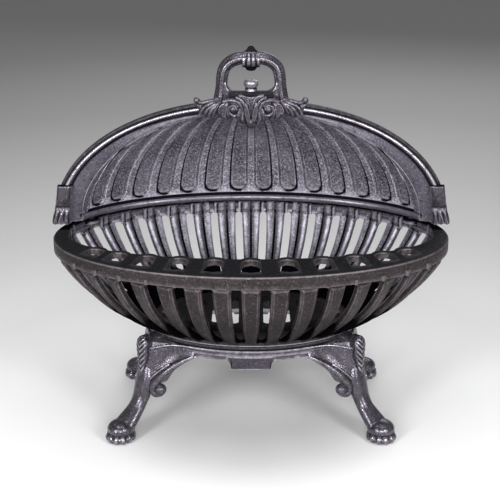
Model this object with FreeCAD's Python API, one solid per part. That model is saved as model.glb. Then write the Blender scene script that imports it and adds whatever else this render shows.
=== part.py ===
import FreeCAD, Part
import math
import os

# Cast-iron oval fire basket on a four-legged stand, with a lift-off hood. Millimetres, +Z up,
# -Y is the front, and the origin is on the floor under the middle of the rim.

# Rim of the basket
RIM_WIDTH = 476.0
RIM_DEPTH = 284.0
RIM_TOP = 233.0
BAND_HEIGHT = 16.0
BAND_WALL = 8.0
FLANGE_THICKNESS = 7.0
REAR_FLANGE = 20.0
FRONT_FLANGE = 58.0

# Air holes in the front of the flange
HOLE_COUNT = 11
HOLE_PITCH = 10.8
HOLE_WIDTH = 22.0
HOLE_INNER_MARGIN = 4.0
HOLE_OUTER_MARGIN = 15.0
HOLE_LOBE = 8.0

# Bars of the basket
BAR_COUNT = 36
FRONT_BAR_COUNT = 11
BAR_GAP_TOP = 11.0
BAR_GAP_FOOT = 6.5
BAR_THICKNESS = 9.0
BAR_CHAMFER = 3.0
BAR_GUTTER = 2.5
BAR_BULGE = 12.0

# Foot ring of the basket and the loose grate on it
FOOT_WIDTH = 260.0
FOOT_DEPTH = 170.0
FOOT_TOP = 127.0
FOOT_PLATE = 3.0
SPIGOT_DEPTH = 9.0
FOOT_RING_WIDTH = 38.0
BAR_TOP_INSET = 7.5
BAR_FOOT_INSET = 4.5
GRATE_OVERLAP = 7.0
GRATE_THICKNESS = 7.0
GRATE_SLOT = 12.0
GRATE_RIB = 9.0
GRATE_BORDER = 10.0

# Stand
LIP_WALL = 6.0
RING_LEDGE = 8.0
LEDGE_WIDTH = 26.0
APRON_WALL = 7.0
APRON_DROP = 2.5
APRON_PENDANT = 14.0
APRON_HAUNCH = 31.0
PENDANT_WIDTH = 46.0
PENDANT_STEP = 8.0
APRON_INSET = 2.0
LEG_ANGLE = 60.0
FOOT_SPREAD_X = 154.0
FOOT_SPREAD_Y = 77.0
PAW_WIDTH = 35.0
PAW_LENGTH = 43.0
PAW_HEIGHT = 26.0
TOE_COUNT = 4
TOE_RADIUS = 7.5
KNEE_WIDTH = 64.0
KNEE_THICKNESS = 26.0
KNEE_BOSS = 10.0
ANKLE_WIDTH = 20.0
ANKLE_THICKNESS = 17.0
ANKLE_HEIGHT = 38.0
SCROLL_TURN = 27.0
SCROLL_END_TURN = 17.0
SCROLL_FALL = 44.0
SCROLL_REACH = 17.0
SCROLL_TUBE = 4.8
SCROLL_BALL = 7.5

# Hood
HOOD_INSET = 3.0
HOOD_HEIGHT = 157.0
HOOD_WALL = 7.0
ARCH_SETBACK = 50.0
ARCH_DEPTH = 10.0
ARCH_OVERHANG = 6.0
ARCH_PROUD = 8.5
ARCH_BEAD = 3.5
BASE_BEAD = 4.5
PANEL_COUNT = 14
PANEL_PITCH = 8.2
PANEL_SHARE = 0.58
PANEL_DEPTH = 2.5
PANEL_FOOT = 12.0
PANEL_HEAD = 9.0
EAR_OVERHANG = 2.0
EAR_WIDTH = 18.0
EAR_HEIGHT = 50.0
EAR_DEPTH = 3.5
EAR_WAIST = 2.5

# Handle, button and crest on the arch
HANDLE_SPAN = 70.0
HANDLE_TUBE = 15.0
HANDLE_RISE = 49.0
HANDLE_BASE = 11.0
KNOP_RADIUS = 10.5
KNOP_LENGTH = 17.0
FINIAL_HEIGHT = 5.0
BUTTON_RADIUS = 8.8
BUTTON_HEIGHT = 9.0
BUTTON_NECK = 6.0
CREST_HALF_WIDTH = 70.0
CREST_DEPTH = 9.0
CREST_DROP = 36.0
CREST_LIFT = 8.0

# Fixings and clearances
PEG_RADIUS = 4.0
PEG_LENGTH = 12.0
PEG_ANGLE = 28.0
BOLT_RADIUS = 3.0
BOLT_HEAD_RADIUS = 5.0
BOLT_HEAD_HEIGHT = 4.0
BOLT_HEAD_GAP = 1.0
NUT_HEIGHT = 5.0
BOLT_TAIL = 3.0
LIFT_GAP = 0.3
PEG_CLEARANCE = 0.5
BOLT_CLEARANCE = 0.3
SPIGOT_CLEARANCE = 0.4

# Worked out from the sizes above
RIM_A = RIM_WIDTH / 2
RIM_B = RIM_DEPTH / 2
FOOT_A = FOOT_WIDTH / 2
FOOT_B = FOOT_DEPTH / 2
BAND_BOTTOM = RIM_TOP - BAND_HEIGHT
LIP_TOP = FOOT_TOP - FOOT_PLATE
LEDGE_TOP = LIP_TOP - SPIGOT_DEPTH
RING_BOTTOM = LEDGE_TOP - RING_LEDGE
HOOD_BASE = RIM_TOP + LIFT_GAP
HOOD_A = RIM_A - HOOD_INSET
HOOD_B = RIM_B - HOOD_INSET
ARCH_SHARE = math.sqrt(1 - (ARCH_SETBACK / HOOD_B) ** 2)
ARCH_A = RIM_A + ARCH_OVERHANG
ARCH_H = HOOD_HEIGHT * ARCH_SHARE + ARCH_PROUD
ARCH_FRONT = ARCH_SETBACK - ARCH_DEPTH
ARCH_TOP = HOOD_BASE + ARCH_H
REACH = 2 * RIM_WIDTH


def vec(x, y, z):
    """Short name for a vector."""
    return FreeCAD.Vector(x, y, z)


def on_oval(a, b, turn, z=0.0):
    """Point of an oval, with the turn measured from the front towards +X."""
    return vec(a * math.sin(turn), -b * math.cos(turn), z)


def oval_slab(a, b, low, high):
    """Solid oval between two heights."""
    wire = Part.Wire(Part.Ellipse(vec(0, 0, low), a, b).toShape())
    return Part.Face(wire).extrude(vec(0, 0, high - low))


def oval_ring(a, b, wall, low, high):
    """Oval ring with an even wall."""
    return oval_slab(a, b, low, high).cut(oval_slab(a - wall, b - wall, low, high))


def block(x0, x1, y0, y1, z0, z1):
    """Box between two corners."""
    return Part.makeBox(x1 - x0, y1 - y0, z1 - z0, vec(x0, y0, z0))


def rod(radius, height, base, axis=None):
    """Cylinder from a base point along an axis."""
    return Part.makeCylinder(radius, height, base, axis or vec(0, 0, 1))


def ellipsoid(a, b, h, centre):
    """Ball stretched to three half sizes."""
    matrix = FreeCAD.Matrix()
    matrix.scale(a, b, h)
    shape = Part.makeSphere(1.0).transformGeometry(matrix)
    shape.translate(centre)
    return shape


def joined(shapes):
    """One solid from overlapping ones."""
    first = shapes[0]
    if len(shapes) > 1:
        first = first.fuse(shapes[1:])
    return first.removeSplitter()


def mirrored(shape):
    """Copy on the other side of the middle plane between left and right."""
    return shape.mirror(vec(0, 0, 0), vec(1, 0, 0))


def behind(shape):
    """Copy on the other side of the middle plane between front and rear."""
    return shape.mirror(vec(0, 0, 0), vec(0, 1, 0))


def save(name, shapes):
    """Write one node from its solids."""
    solids = []
    for shape in shapes:
        solids.extend(shape.Solids)
    for solid in solids:
        if not solid.isValid():
            print("invalid solid in", name)
    compound = solids[0] if len(solids) == 1 else Part.makeCompound(solids)
    compound.exportStep(os.path.join("parts", name + ".step"))
    print(f"{name}: {len(solids)} solids, {compound.Volume / 1000:.1f} cubic centimetres")


def even_turns(a, b, count):
    """Turns of points that stand evenly along an oval, from the front."""
    steps = 720
    lengths = [0.0]
    for step in range(steps):
        here = on_oval(a, b, 2 * math.pi * step / steps)
        there = on_oval(a, b, 2 * math.pi * (step + 1) / steps)
        lengths.append(lengths[-1] + here.distanceToPoint(there))
    turns = []
    step = 0
    for index in range(count):
        target = lengths[-1] * index / count
        while lengths[step + 1] < target:
            step += 1
        share = (target - lengths[step]) / (lengths[step + 1] - lengths[step])
        turns.append(2 * math.pi * (step + share) / steps)
    return turns


def hole_turns():
    """Turns of the air holes in the front flange."""
    middle = (HOLE_COUNT - 1) / 2
    return [math.radians(HOLE_PITCH) * (index - middle) for index in range(HOLE_COUNT)]


def flange_line(turn):
    """Inner and outer ends of the front flange at a turn, on its inner edge and its outer edge."""
    inner = on_oval(RIM_A - REAR_FLANGE, RIM_B - FRONT_FLANGE, turn)
    return inner, on_oval(RIM_A, RIM_B, turn)


def air_hole(turn):
    """Pointed air hole through the flange, with its point towards the fire."""
    inner, outer = flange_line(turn)
    line = outer.sub(inner).normalize()
    across = vec(-line.y, line.x, 0) * (HOLE_WIDTH / 2)
    tip = inner + line * HOLE_INNER_MARGIN
    wide = outer - line * (HOLE_OUTER_MARGIN + HOLE_WIDTH / 4)
    length = wide.sub(tip).Length
    shoulder = tip + line * (length * 0.45)
    near = outer - line * HOLE_OUTER_MARGIN
    edges = [
        Part.Arc(tip, tip + line * (length * 0.14) + across * 0.62, shoulder + across).toShape(),
        Part.makeLine(shoulder + across, wide + across),
        Part.Arc(wide + across, near, wide - across).toShape(),
        Part.makeLine(wide - across, shoulder - across),
        Part.Arc(shoulder - across, tip + line * (length * 0.14) - across * 0.62, tip).toShape(),
    ]
    face = Part.Face(Part.Wire(edges))
    face.translate(vec(0, 0, RIM_TOP - 2 * FLANGE_THICKNESS))
    return face.extrude(vec(0, 0, 3 * FLANGE_THICKNESS))


def flange_mouth():
    """Opening of the flange: a narrow half oval at the front and a wide one at the rear."""
    low = RIM_TOP - 2 * BAND_HEIGHT
    high = RIM_TOP + BAND_HEIGHT
    mouth_a = RIM_A - REAR_FLANGE
    front = oval_slab(mouth_a, RIM_B - FRONT_FLANGE, low, high)
    rear = oval_slab(mouth_a, RIM_B - REAR_FLANGE, low, high)
    return joined([front, rear.common(block(-REACH, REACH, 0, REACH, low, high))])


def peg_places():
    """Where the hood's two locating pegs stand, in the middle of the rear flange."""
    turn = math.pi / 2 + math.radians(PEG_ANGLE)
    right = on_oval(RIM_A - REAR_FLANGE / 2, RIM_B - REAR_FLANGE / 2, turn)
    return [right, vec(-right.x, right.y, 0)]


def basket_rim():
    """Band and flange of the basket, with air holes, lobes round them and peg holes."""
    low = RIM_TOP - FLANGE_THICKNESS
    band = oval_ring(RIM_A, RIM_B, BAND_WALL, BAND_BOTTOM, RIM_TOP)
    flange = oval_slab(RIM_A, RIM_B, low, RIM_TOP).cut(flange_mouth())
    lobes = []
    for turn in hole_turns():
        inner, outer = flange_line(turn)
        line = outer.sub(inner).normalize()
        centre = inner + line * (HOLE_INNER_MARGIN + HOLE_LOBE / 2)
        lobes.append(rod(HOLE_LOBE + HOLE_WIDTH / 4, FLANGE_THICKNESS, centre + vec(0, 0, low)))
    rim = joined([band, flange] + lobes)
    holes = [air_hole(turn) for turn in hole_turns()]
    for place in peg_places():
        holes.append(rod(PEG_RADIUS + PEG_CLEARANCE, BAND_HEIGHT, place + vec(0, 0, BAND_BOTTOM)))
    return rim.cut(holes).removeSplitter()


def bar_section(centre, across, outward, width):
    """Section of a bar: chamfered outside, with a gutter along its inner face."""
    half = width / 2
    out = BAR_THICKNESS / 2
    edge = half - min(BAR_CHAMFER, half / 2)
    outline = [
        (-half, 0.0),
        (-edge, out),
        (edge, out),
        (half, 0.0),
        (edge, -out),
        (edge / 3, -out),
        (0.0, BAR_GUTTER - out),
        (-edge / 3, -out),
        (-edge, -out),
    ]
    points = [centre + across * side + outward * depth for side, depth in outline]
    return Part.makePolygon(points + points[:1])


def bar(rim_point, foot_point, width_top, width_foot):
    """One bar, bowed outwards from the band to the foot ring."""
    run = foot_point.sub(rim_point)
    chord = run.Length
    run.normalize()
    across = vec(run.y, -run.x, 0).normalize()
    outward = across.cross(run).normalize()
    if outward.z > 0:
        outward = outward * -1
    radius = (chord ** 2 / 4 + BAR_BULGE ** 2) / (2 * BAR_BULGE)
    half_angle = math.asin(chord / 2 / radius)
    centre = (rim_point + foot_point) * 0.5 - outward * (radius - BAR_BULGE)
    spare = 1.0 + BAR_THICKNESS / chord * 2
    wires = []
    for step in range(-2, 3):
        share = step / 2 * spare
        angle = half_angle * share
        normal = outward * math.cos(angle) + run * math.sin(angle)
        width = width_top + (width_foot - width_top) * (share + 1) / 2
        wires.append(bar_section(centre + normal * radius, across, normal, width))
    full = Part.makeLoft(wires, True, False)
    return full.common(block(-REACH, REACH, -REACH, REACH, FOOT_TOP, BAND_BOTTOM))


def all_bars():
    """Every bar in turn from the front middle towards +X."""
    top_a = RIM_A - BAR_TOP_INSET
    top_b = RIM_B - BAR_TOP_INSET
    foot_a = FOOT_A - BAR_FOOT_INSET
    foot_b = FOOT_B - BAR_FOOT_INSET
    turns = even_turns(top_a, top_b, BAR_COUNT)
    tops = [on_oval(top_a, top_b, turn, BAND_BOTTOM) for turn in turns]
    step = 2 * math.pi / BAR_COUNT
    feet = [on_oval(foot_a, foot_b, step * index, FOOT_TOP) for index in range(BAR_COUNT)]
    bars = []
    for index in range(BAR_COUNT):
        following = (index + 1) % BAR_COUNT
        top_pitch = tops[following].distanceToPoint(tops[index])
        foot_pitch = (feet[following].distanceToPoint(feet[index - 1])) / 2
        width_top = top_pitch - BAR_GAP_TOP
        width_foot = foot_pitch - BAR_GAP_FOOT
        bars.append(bar(tops[index], feet[index], width_top, width_foot))
    return bars


def bar_groups():
    """Bars sorted into the front, right, rear and left of the basket."""
    bars = all_bars()
    side = FRONT_BAR_COUNT // 2
    half = BAR_COUNT // 2
    groups = {"front_bars": [], "right_bars": [], "rear_bars": [], "left_bars": []}
    for index, shape in enumerate(bars):
        from_front = min(index, BAR_COUNT - index)
        if from_front <= side:
            groups["front_bars"].append(shape)
        elif from_front >= half - side:
            groups["rear_bars"].append(shape)
        elif index < half:
            groups["right_bars"].append(shape)
        else:
            groups["left_bars"].append(shape)
    return groups


def bolt_places():
    """Where the two bolts hold the basket to the stand."""
    grate_edge = FOOT_A - FOOT_RING_WIDTH + GRATE_OVERLAP
    reach = grate_edge + BOLT_HEAD_GAP + BOLT_HEAD_RADIUS
    return [vec(reach, 0, 0), vec(-reach, 0, 0)]


def basket_foot_ring():
    """Plate under the bars with a spigot that stands in the ring of the stand."""
    plate = oval_ring(FOOT_A, FOOT_B, FOOT_RING_WIDTH, LIP_TOP, FOOT_TOP)
    inset = LIP_WALL + SPIGOT_CLEARANCE
    spigot = oval_ring(FOOT_A - inset, FOOT_B - inset, FOOT_RING_WIDTH - inset, LEDGE_TOP, LIP_TOP)
    holes = []
    for place in bolt_places():
        holes.append(rod(BOLT_RADIUS + BOLT_CLEARANCE, BAND_HEIGHT, place + vec(0, 0, LEDGE_TOP)))
    return joined([plate, spigot]).cut(holes).removeSplitter()


def bottom_grate():
    """Loose oval grate with straight slots, lying on the foot ring."""
    inner = FOOT_RING_WIDTH - GRATE_OVERLAP
    half_a = FOOT_A - inner
    half_b = FOOT_B - inner
    low = FOOT_TOP + LIFT_GAP
    high = low + GRATE_THICKNESS
    plate = oval_slab(half_a, half_b, low, high)
    field = oval_slab(half_a - GRATE_BORDER, half_b - GRATE_BORDER, low, high)
    pitch = GRATE_SLOT + GRATE_RIB
    count = int((half_a - GRATE_BORDER - GRATE_SLOT) / pitch)
    slots = []
    for index in range(-count, count + 1):
        middle = index * pitch
        reach = (half_b - GRATE_BORDER) * math.sqrt(1 - (middle / (half_a - GRATE_BORDER)) ** 2)
        straight = max(reach - GRATE_SLOT / 2, GRATE_SLOT / 4)
        left = middle - GRATE_SLOT / 2
        right = middle + GRATE_SLOT / 2
        slots.append(block(left, right, -straight, straight, low, high))
        slots.append(rod(GRATE_SLOT / 2, GRATE_THICKNESS, vec(middle, straight, low)))
        slots.append(rod(GRATE_SLOT / 2, GRATE_THICKNESS, vec(middle, -straight, low)))
    return plate.cut(slots).removeSplitter()


def stand_ring():
    """Oval ring of the stand: a lip round the spigot and a ledge under it."""
    lip = oval_ring(FOOT_A, FOOT_B, LIP_WALL, LEDGE_TOP, LIP_TOP)
    ledge = oval_ring(FOOT_A, FOOT_B, LIP_WALL + LEDGE_WIDTH, RING_BOTTOM, LEDGE_TOP)
    holes = []
    for place in bolt_places():
        holes.append(rod(BOLT_RADIUS + BOLT_CLEARANCE, BAND_HEIGHT, place + vec(0, 0, RING_BOTTOM)))
    return joined([lip, ledge]).cut(holes).removeSplitter()


def basket_fixings():
    """Bolts down through the foot ring and the ledge, and the nuts under the ledge."""
    bolts = []
    nuts = []
    for place in bolt_places():
        low = RING_BOTTOM - NUT_HEIGHT - BOLT_TAIL
        shank = rod(BOLT_RADIUS, FOOT_TOP - low, place + vec(0, 0, low))
        head = rod(BOLT_HEAD_RADIUS, BOLT_HEAD_HEIGHT, place + vec(0, 0, FOOT_TOP))
        bolts.append(joined([shank, head]))
        corners = [place + on_oval(BOLT_HEAD_RADIUS, BOLT_HEAD_RADIUS, math.pi * side / 3)
                   for side in range(7)]
        nut = Part.Face(Part.makePolygon(corners)).extrude(vec(0, 0, NUT_HEIGHT))
        nut.translate(vec(0, 0, RING_BOTTOM - NUT_HEIGHT))
        nuts.append(nut.cut(rod(BOLT_RADIUS, RIM_TOP, place)))
    return bolts, nuts


def knee_place():
    """Where the front right leg joins the ring of the stand."""
    return on_oval(FOOT_A, FOOT_B, math.radians(LEG_ANGLE))


def leg_section(place, across, tilt, width, thickness):
    """Oval section of a leg, leaning with its path."""
    ellipse = Part.Ellipse(vec(0, 0, 0), width / 2, thickness / 2)
    wire = Part.Wire(ellipse.toShape())
    forward = tilt.cross(across)
    matrix = FreeCAD.Matrix(across.x, forward.x, tilt.x, place.x,
                            across.y, forward.y, tilt.y, place.y,
                            across.z, forward.z, tilt.z, place.z, 0, 0, 0, 1)
    wire.Placement = FreeCAD.Placement(matrix)
    return wire


def paw(foot, out):
    """Paw with round toes, pointing outwards."""
    up = vec(0, 0, 1)
    heading = math.degrees(math.atan2(out.y, out.x))
    pad = ellipsoid(PAW_LENGTH / 2 - TOE_RADIUS / 2, PAW_WIDTH / 2, PAW_HEIGHT * 0.62, vec(0, 0, 0))
    pad.rotate(vec(0, 0, 0), up, heading)
    pad.translate(foot + up * (PAW_HEIGHT * 0.38) - out * (TOE_RADIUS / 2))
    shapes = [pad]
    for index in range(TOE_COUNT):
        spread = (index - (TOE_COUNT - 1) / 2) / TOE_COUNT * math.pi * 0.8
        along = (PAW_LENGTH / 2 - TOE_RADIUS) * math.cos(spread)
        aside = (PAW_WIDTH / 2 - TOE_RADIUS * 0.8) * math.sin(spread)
        place = foot + out * along + vec(-out.y, out.x, 0) * aside + up * (TOE_RADIUS * 0.8)
        shapes.append(Part.makeSphere(TOE_RADIUS, place))
    return shapes


def scroll(side):
    """Round bar that falls from the edge of the apron along the leg, with a ball on its lower end."""
    spread = SCROLL_TURN if side < 0 else SCROLL_END_TURN

    def place(share, out, fall):
        turn = math.radians(LEG_ANGLE + side * spread * share)
        return on_oval(FOOT_A + out, FOOT_B + out, turn, RING_BOTTOM - fall)
    top = place(1.0, SCROLL_TUBE / 3, SCROLL_TUBE + LIFT_GAP)
    bend = place(0.46, SCROLL_REACH * 0.47, SCROLL_FALL * 0.55)
    end = place(0.28, SCROLL_REACH, SCROLL_FALL)
    ball = place(0.43, SCROLL_REACH, SCROLL_FALL + SCROLL_TUBE)
    path = Part.Wire(Part.Arc(top, bend, end).toShape())
    first = path.Edges[0]
    heading = first.tangentAt(first.FirstParameter)
    ring = Part.Wire(Part.Circle(top, heading, SCROLL_TUBE).toShape())
    return [path.makePipeShell([ring], True, True), Part.makeSphere(SCROLL_BALL, ball)]


def front_right_leg():
    """Bowed leg with a boss on the knee, a scroll on each side of it and a paw on the floor."""
    knee = knee_place()
    foot = vec(FOOT_SPREAD_X, -FOOT_SPREAD_Y, 0)
    out = foot.sub(knee)
    reach = out.Length
    out.normalize()
    across = vec(-out.y, out.x, 0)
    up = vec(0, 0, 1)
    shin_height = (LIP_TOP + ANKLE_HEIGHT) / 2
    knee_height = (LIP_TOP + shin_height) / 2
    spine = [
        (KNEE_THICKNESS * 0.4, LIP_TOP - KNEE_BOSS / 2, KNEE_WIDTH * 0.7, KNEE_THICKNESS, 0.0),
        (KNEE_THICKNESS * 0.5, knee_height, KNEE_WIDTH, KNEE_THICKNESS, 0.05),
        (KNEE_THICKNESS * 0.75, shin_height, (KNEE_WIDTH + ANKLE_WIDTH) / 2, KNEE_THICKNESS * 0.9, 0.2),
        (0.6 * reach, ANKLE_HEIGHT, ANKLE_WIDTH, ANKLE_THICKNESS, 0.5),
        (0.85 * reach, PAW_HEIGHT * 0.75, ANKLE_WIDTH * 1.15, ANKLE_THICKNESS, 0.7),
    ]
    wires = []
    for along, height, width, thickness, lean in spine:
        tilt = (out * math.sin(-lean) + up * math.cos(lean)).normalize()
        place = knee + out * along + up * height
        wires.append(leg_section(place, across, tilt, width, thickness))
    shapes = [Part.makeLoft(wires, True, False)]
    boss = knee + out * (KNEE_THICKNESS - KNEE_BOSS) + up * (LIP_TOP - KNEE_BOSS)
    shapes.append(Part.makeSphere(KNEE_BOSS, boss))
    for side in (-1, 1):
        shapes.extend(scroll(side))
    whole = joined(shapes + paw(foot, out))
    whole = whole.common(block(-REACH, REACH, -REACH, REACH, 0, LIP_TOP))
    return whole.cut(oval_slab(FOOT_A, FOOT_B, RING_BOTTOM - APRON_PENDANT, LIP_TOP))


def apron_tube():
    """Oval tube that the four aprons are cut from."""
    low = RING_BOTTOM - APRON_HAUNCH
    return oval_ring(FOOT_A - APRON_INSET, FOOT_B - APRON_INSET, APRON_WALL, low, RING_BOTTOM)


def front_apron():
    """Front apron: two flat arches with a pendant between them."""
    knee = knee_place()
    arch = RING_BOTTOM - APRON_DROP
    low = RING_BOTTOM - APRON_PENDANT
    half = PENDANT_WIDTH / 2
    spread = knee.x - KNEE_WIDTH / 4
    haunch = RING_BOTTOM - APRON_HAUNCH
    bend = RING_BOTTOM - APRON_HAUNCH * 0.42
    step = PENDANT_STEP
    edges = [
        Part.makeLine(vec(-spread, 0, RING_BOTTOM), vec(spread, 0, RING_BOTTOM)),
        Part.makeLine(vec(spread, 0, RING_BOTTOM), vec(spread, 0, haunch)),
        Part.Arc(vec(spread, 0, haunch), vec(spread * 0.8, 0, bend), vec(half + step, 0, arch)).toShape(),
        Part.Arc(vec(half + step, 0, arch), vec(half + step / 3, 0, (arch + low) / 2),
                 vec(half, 0, low)).toShape(),
        Part.makeLine(vec(half, 0, low), vec(-half, 0, low)),
        Part.Arc(vec(-half, 0, low), vec(-half - step / 3, 0, (arch + low) / 2),
                 vec(-half - step, 0, arch)).toShape(),
        Part.Arc(vec(-half - step, 0, arch), vec(-spread * 0.8, 0, bend), vec(-spread, 0, haunch)).toShape(),
        Part.makeLine(vec(-spread, 0, haunch), vec(-spread, 0, RING_BOTTOM)),
    ]
    profile = Part.Face(Part.Wire(edges)).extrude(vec(0, -REACH, 0))
    return apron_tube().common(profile)


def right_apron():
    """Side apron: one flat arch between a front leg and a rear leg."""
    knee = knee_place()
    low = RING_BOTTOM - APRON_HAUNCH * 0.7
    arch = RING_BOTTOM - APRON_DROP
    spread = -knee.y - KNEE_WIDTH / 4
    edges = [
        Part.makeLine(vec(0, -spread, RING_BOTTOM), vec(0, spread, RING_BOTTOM)),
        Part.makeLine(vec(0, spread, RING_BOTTOM), vec(0, spread, low)),
        Part.Arc(vec(0, spread, low), vec(0, 0, arch), vec(0, -spread, low)).toShape(),
        Part.makeLine(vec(0, -spread, low), vec(0, -spread, RING_BOTTOM)),
    ]
    profile = Part.Face(Part.Wire(edges)).extrude(vec(REACH, 0, 0))
    return apron_tube().common(profile)


def dome(inset):
    """Upper half of the hood's dome, smaller all round by an inset."""
    whole = ellipsoid(HOOD_A - inset, HOOD_B - inset, HOOD_HEIGHT - inset, vec(0, 0, HOOD_BASE))
    keep = block(-REACH, REACH, ARCH_SETBACK, REACH, HOOD_BASE, REACH)
    return whole.common(keep)


def panel_wedge(index):
    """Upright wedge between two planes through the middle of the hood, with a round foot."""
    middle = math.radians(PANEL_PITCH) * (index - (PANEL_COUNT - 1) / 2)
    half = math.radians(PANEL_PITCH) * PANEL_SHARE / 2
    inner_a = HOOD_A - HOOD_WALL
    inner_b = HOOD_B - HOOD_WALL
    foot_left = on_oval(inner_a, -inner_b, middle - half)
    foot_right = on_oval(inner_a, -inner_b, middle + half)
    foot_middle = on_oval(inner_a, -inner_b, middle)
    radius = foot_left.distanceToPoint(foot_right) / 2
    low = HOOD_BASE + PANEL_FOOT
    triangle = Part.makePolygon([vec(0, 0, 0), foot_left * 2, foot_right * 2, vec(0, 0, 0)])
    wedge = Part.Face(triangle).extrude(vec(0, 0, HOOD_HEIGHT))
    wedge.translate(vec(0, 0, low + radius))
    heading = foot_middle.normalize()
    round_foot = rod(radius, REACH / 2, vec(0, 0, low + radius), heading)
    head = block(-REACH, REACH, ARCH_SETBACK + PANEL_HEAD, REACH, HOOD_BASE, REACH)
    return joined([wedge, round_foot]).common(head)


def hood_shell():
    """Dome of the hood with sunk panels on its hollow face and a bead along its base."""
    shell = dome(0.0).cut(dome(HOOD_WALL))
    inner_a = HOOD_A - HOOD_WALL
    inner_b = HOOD_B - HOOD_WALL
    path = Part.Wire(Part.Ellipse(vec(0, 0, HOOD_BASE + BASE_BEAD), inner_a, inner_b).toShape())
    ring = Part.Wire(Part.Circle(vec(inner_a, 0, HOOD_BASE + BASE_BEAD), vec(0, 1, 0), BASE_BEAD).toShape())
    bead = path.makePipeShell([ring], True, True)
    keep = block(-REACH, REACH, ARCH_SETBACK, REACH, HOOD_BASE, REACH)
    bead = bead.common(keep)
    sunk = dome(HOOD_WALL - PANEL_DEPTH)
    cutters = [sunk.common(panel_wedge(index)) for index in range(PANEL_COUNT)]
    return joined([shell.cut(cutters), bead])


def locating_pegs():
    """Two pegs under the hood that stand in holes of the flange."""
    low = HOOD_BASE - PEG_LENGTH
    return [rod(PEG_RADIUS, PEG_LENGTH, place + vec(0, 0, low)) for place in peg_places()]


def arch_slab(a, h, y0, y1):
    """Half oval standing on the base of the hood, between two depths."""
    disc = oval_slab(a, h, y0, y1)
    disc.rotate(vec(0, 0, 0), vec(1, 0, 0), 90)
    disc = behind(disc)
    disc.translate(vec(0, 0, HOOD_BASE))
    return disc.common(block(-REACH, REACH, -REACH, REACH, HOOD_BASE, REACH))


def arch_moulding():
    """Moulding round the front of the hood, widest at the ears, with a bead on its face."""
    inner_a = (HOOD_A - HOOD_WALL) * ARCH_SHARE
    inner_h = (HOOD_HEIGHT - HOOD_WALL) * ARCH_SHARE
    band = arch_slab(ARCH_A, ARCH_H, ARCH_FRONT, ARCH_SETBACK)
    band = band.cut(arch_slab(inner_a, inner_h, ARCH_FRONT, ARCH_SETBACK))
    line = ARCH_PROUD
    bead = arch_slab(ARCH_A - line, ARCH_H - line, ARCH_FRONT - ARCH_BEAD, ARCH_FRONT)
    hollow = line + ARCH_BEAD
    bead = bead.cut(arch_slab(ARCH_A - hollow, ARCH_H - hollow, ARCH_FRONT - ARCH_BEAD, ARCH_FRONT))
    return joined([band, bead])


def right_ear():
    """Waisted bracket at the right foot of the arch."""
    outer = ARCH_A + EAR_OVERHANG
    inner = outer - EAR_WIDTH
    front = ARCH_FRONT - ARCH_BEAD - EAR_DEPTH
    back = ARCH_FRONT
    waist = EAR_WAIST
    wires = []
    for share, draw in ((0.0, 0.0), (0.3, 0.7), (0.55, 1.0), (0.8, 0.8), (1.0, 0.5)):
        height = HOOD_BASE + EAR_HEIGHT * share
        edge = outer - waist * draw
        face = front + waist * draw
        corners = [vec(inner, back, height), vec(edge, back, height),
                   vec(edge, face, height), vec(inner, face, height)]
        wires.append(Part.makePolygon(corners + corners[:1]))
    ear = Part.makeLoft(wires, True, False)
    return ear.cut(arch_moulding())


def carry_handle():
    """Loop handle on the arch, with a knop at its top and a base bar under it."""
    half = HANDLE_SPAN / 2
    middle = (ARCH_FRONT + ARCH_SETBACK) / 2
    bend = ARCH_TOP + HANDLE_RISE - half
    foot = ARCH_TOP - HANDLE_TUBE
    top = vec(0, middle, bend + half)
    path = Part.Wire([
        Part.makeLine(vec(-half, middle, foot), vec(-half, middle, bend)),
        Part.Arc(vec(-half, middle, bend), top, vec(half, middle, bend)).toShape(),
        Part.makeLine(vec(half, middle, bend), vec(half, middle, foot)),
    ])
    ring = Part.Circle(vec(-half, middle, foot), vec(0, 0, 1), HANDLE_TUBE / 2)
    loop = path.makePipeShell([Part.Wire(ring.toShape())], True, True)
    reach = half + HANDLE_TUBE / 2
    base = block(-reach, reach, ARCH_FRONT, ARCH_SETBACK, foot, ARCH_TOP + HANDLE_BASE)
    knop = ellipsoid(KNOP_LENGTH / 2, KNOP_RADIUS, KNOP_RADIUS, top)
    finial_foot = top + vec(0, 0, KNOP_RADIUS / 2)
    finial = Part.makeCone(KNOP_RADIUS * 0.7, KNOP_RADIUS * 0.2, KNOP_RADIUS / 2 + FINIAL_HEIGHT,
                           finial_foot)
    whole = joined([loop, base, knop, finial])
    return whole.cut(arch_slab(ARCH_A, ARCH_H, ARCH_FRONT - REACH / 4, ARCH_SETBACK + REACH / 4))


def handle_button():
    """Round button that stands on the base of the handle, inside the loop."""
    middle = (ARCH_FRONT + ARCH_SETBACK) / 2
    low = ARCH_TOP + HANDLE_BASE
    neck = rod(BUTTON_RADIUS * 0.85, BUTTON_NECK, vec(0, middle, low))
    cap = rod(BUTTON_RADIUS, BUTTON_HEIGHT, vec(0, middle, low + BUTTON_NECK))
    rims = [edge for edge in cap.Edges if edge.Closed]
    cap = cap.makeFillet(BUTTON_HEIGHT / 3, rims)
    return joined([neck, cap])


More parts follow.
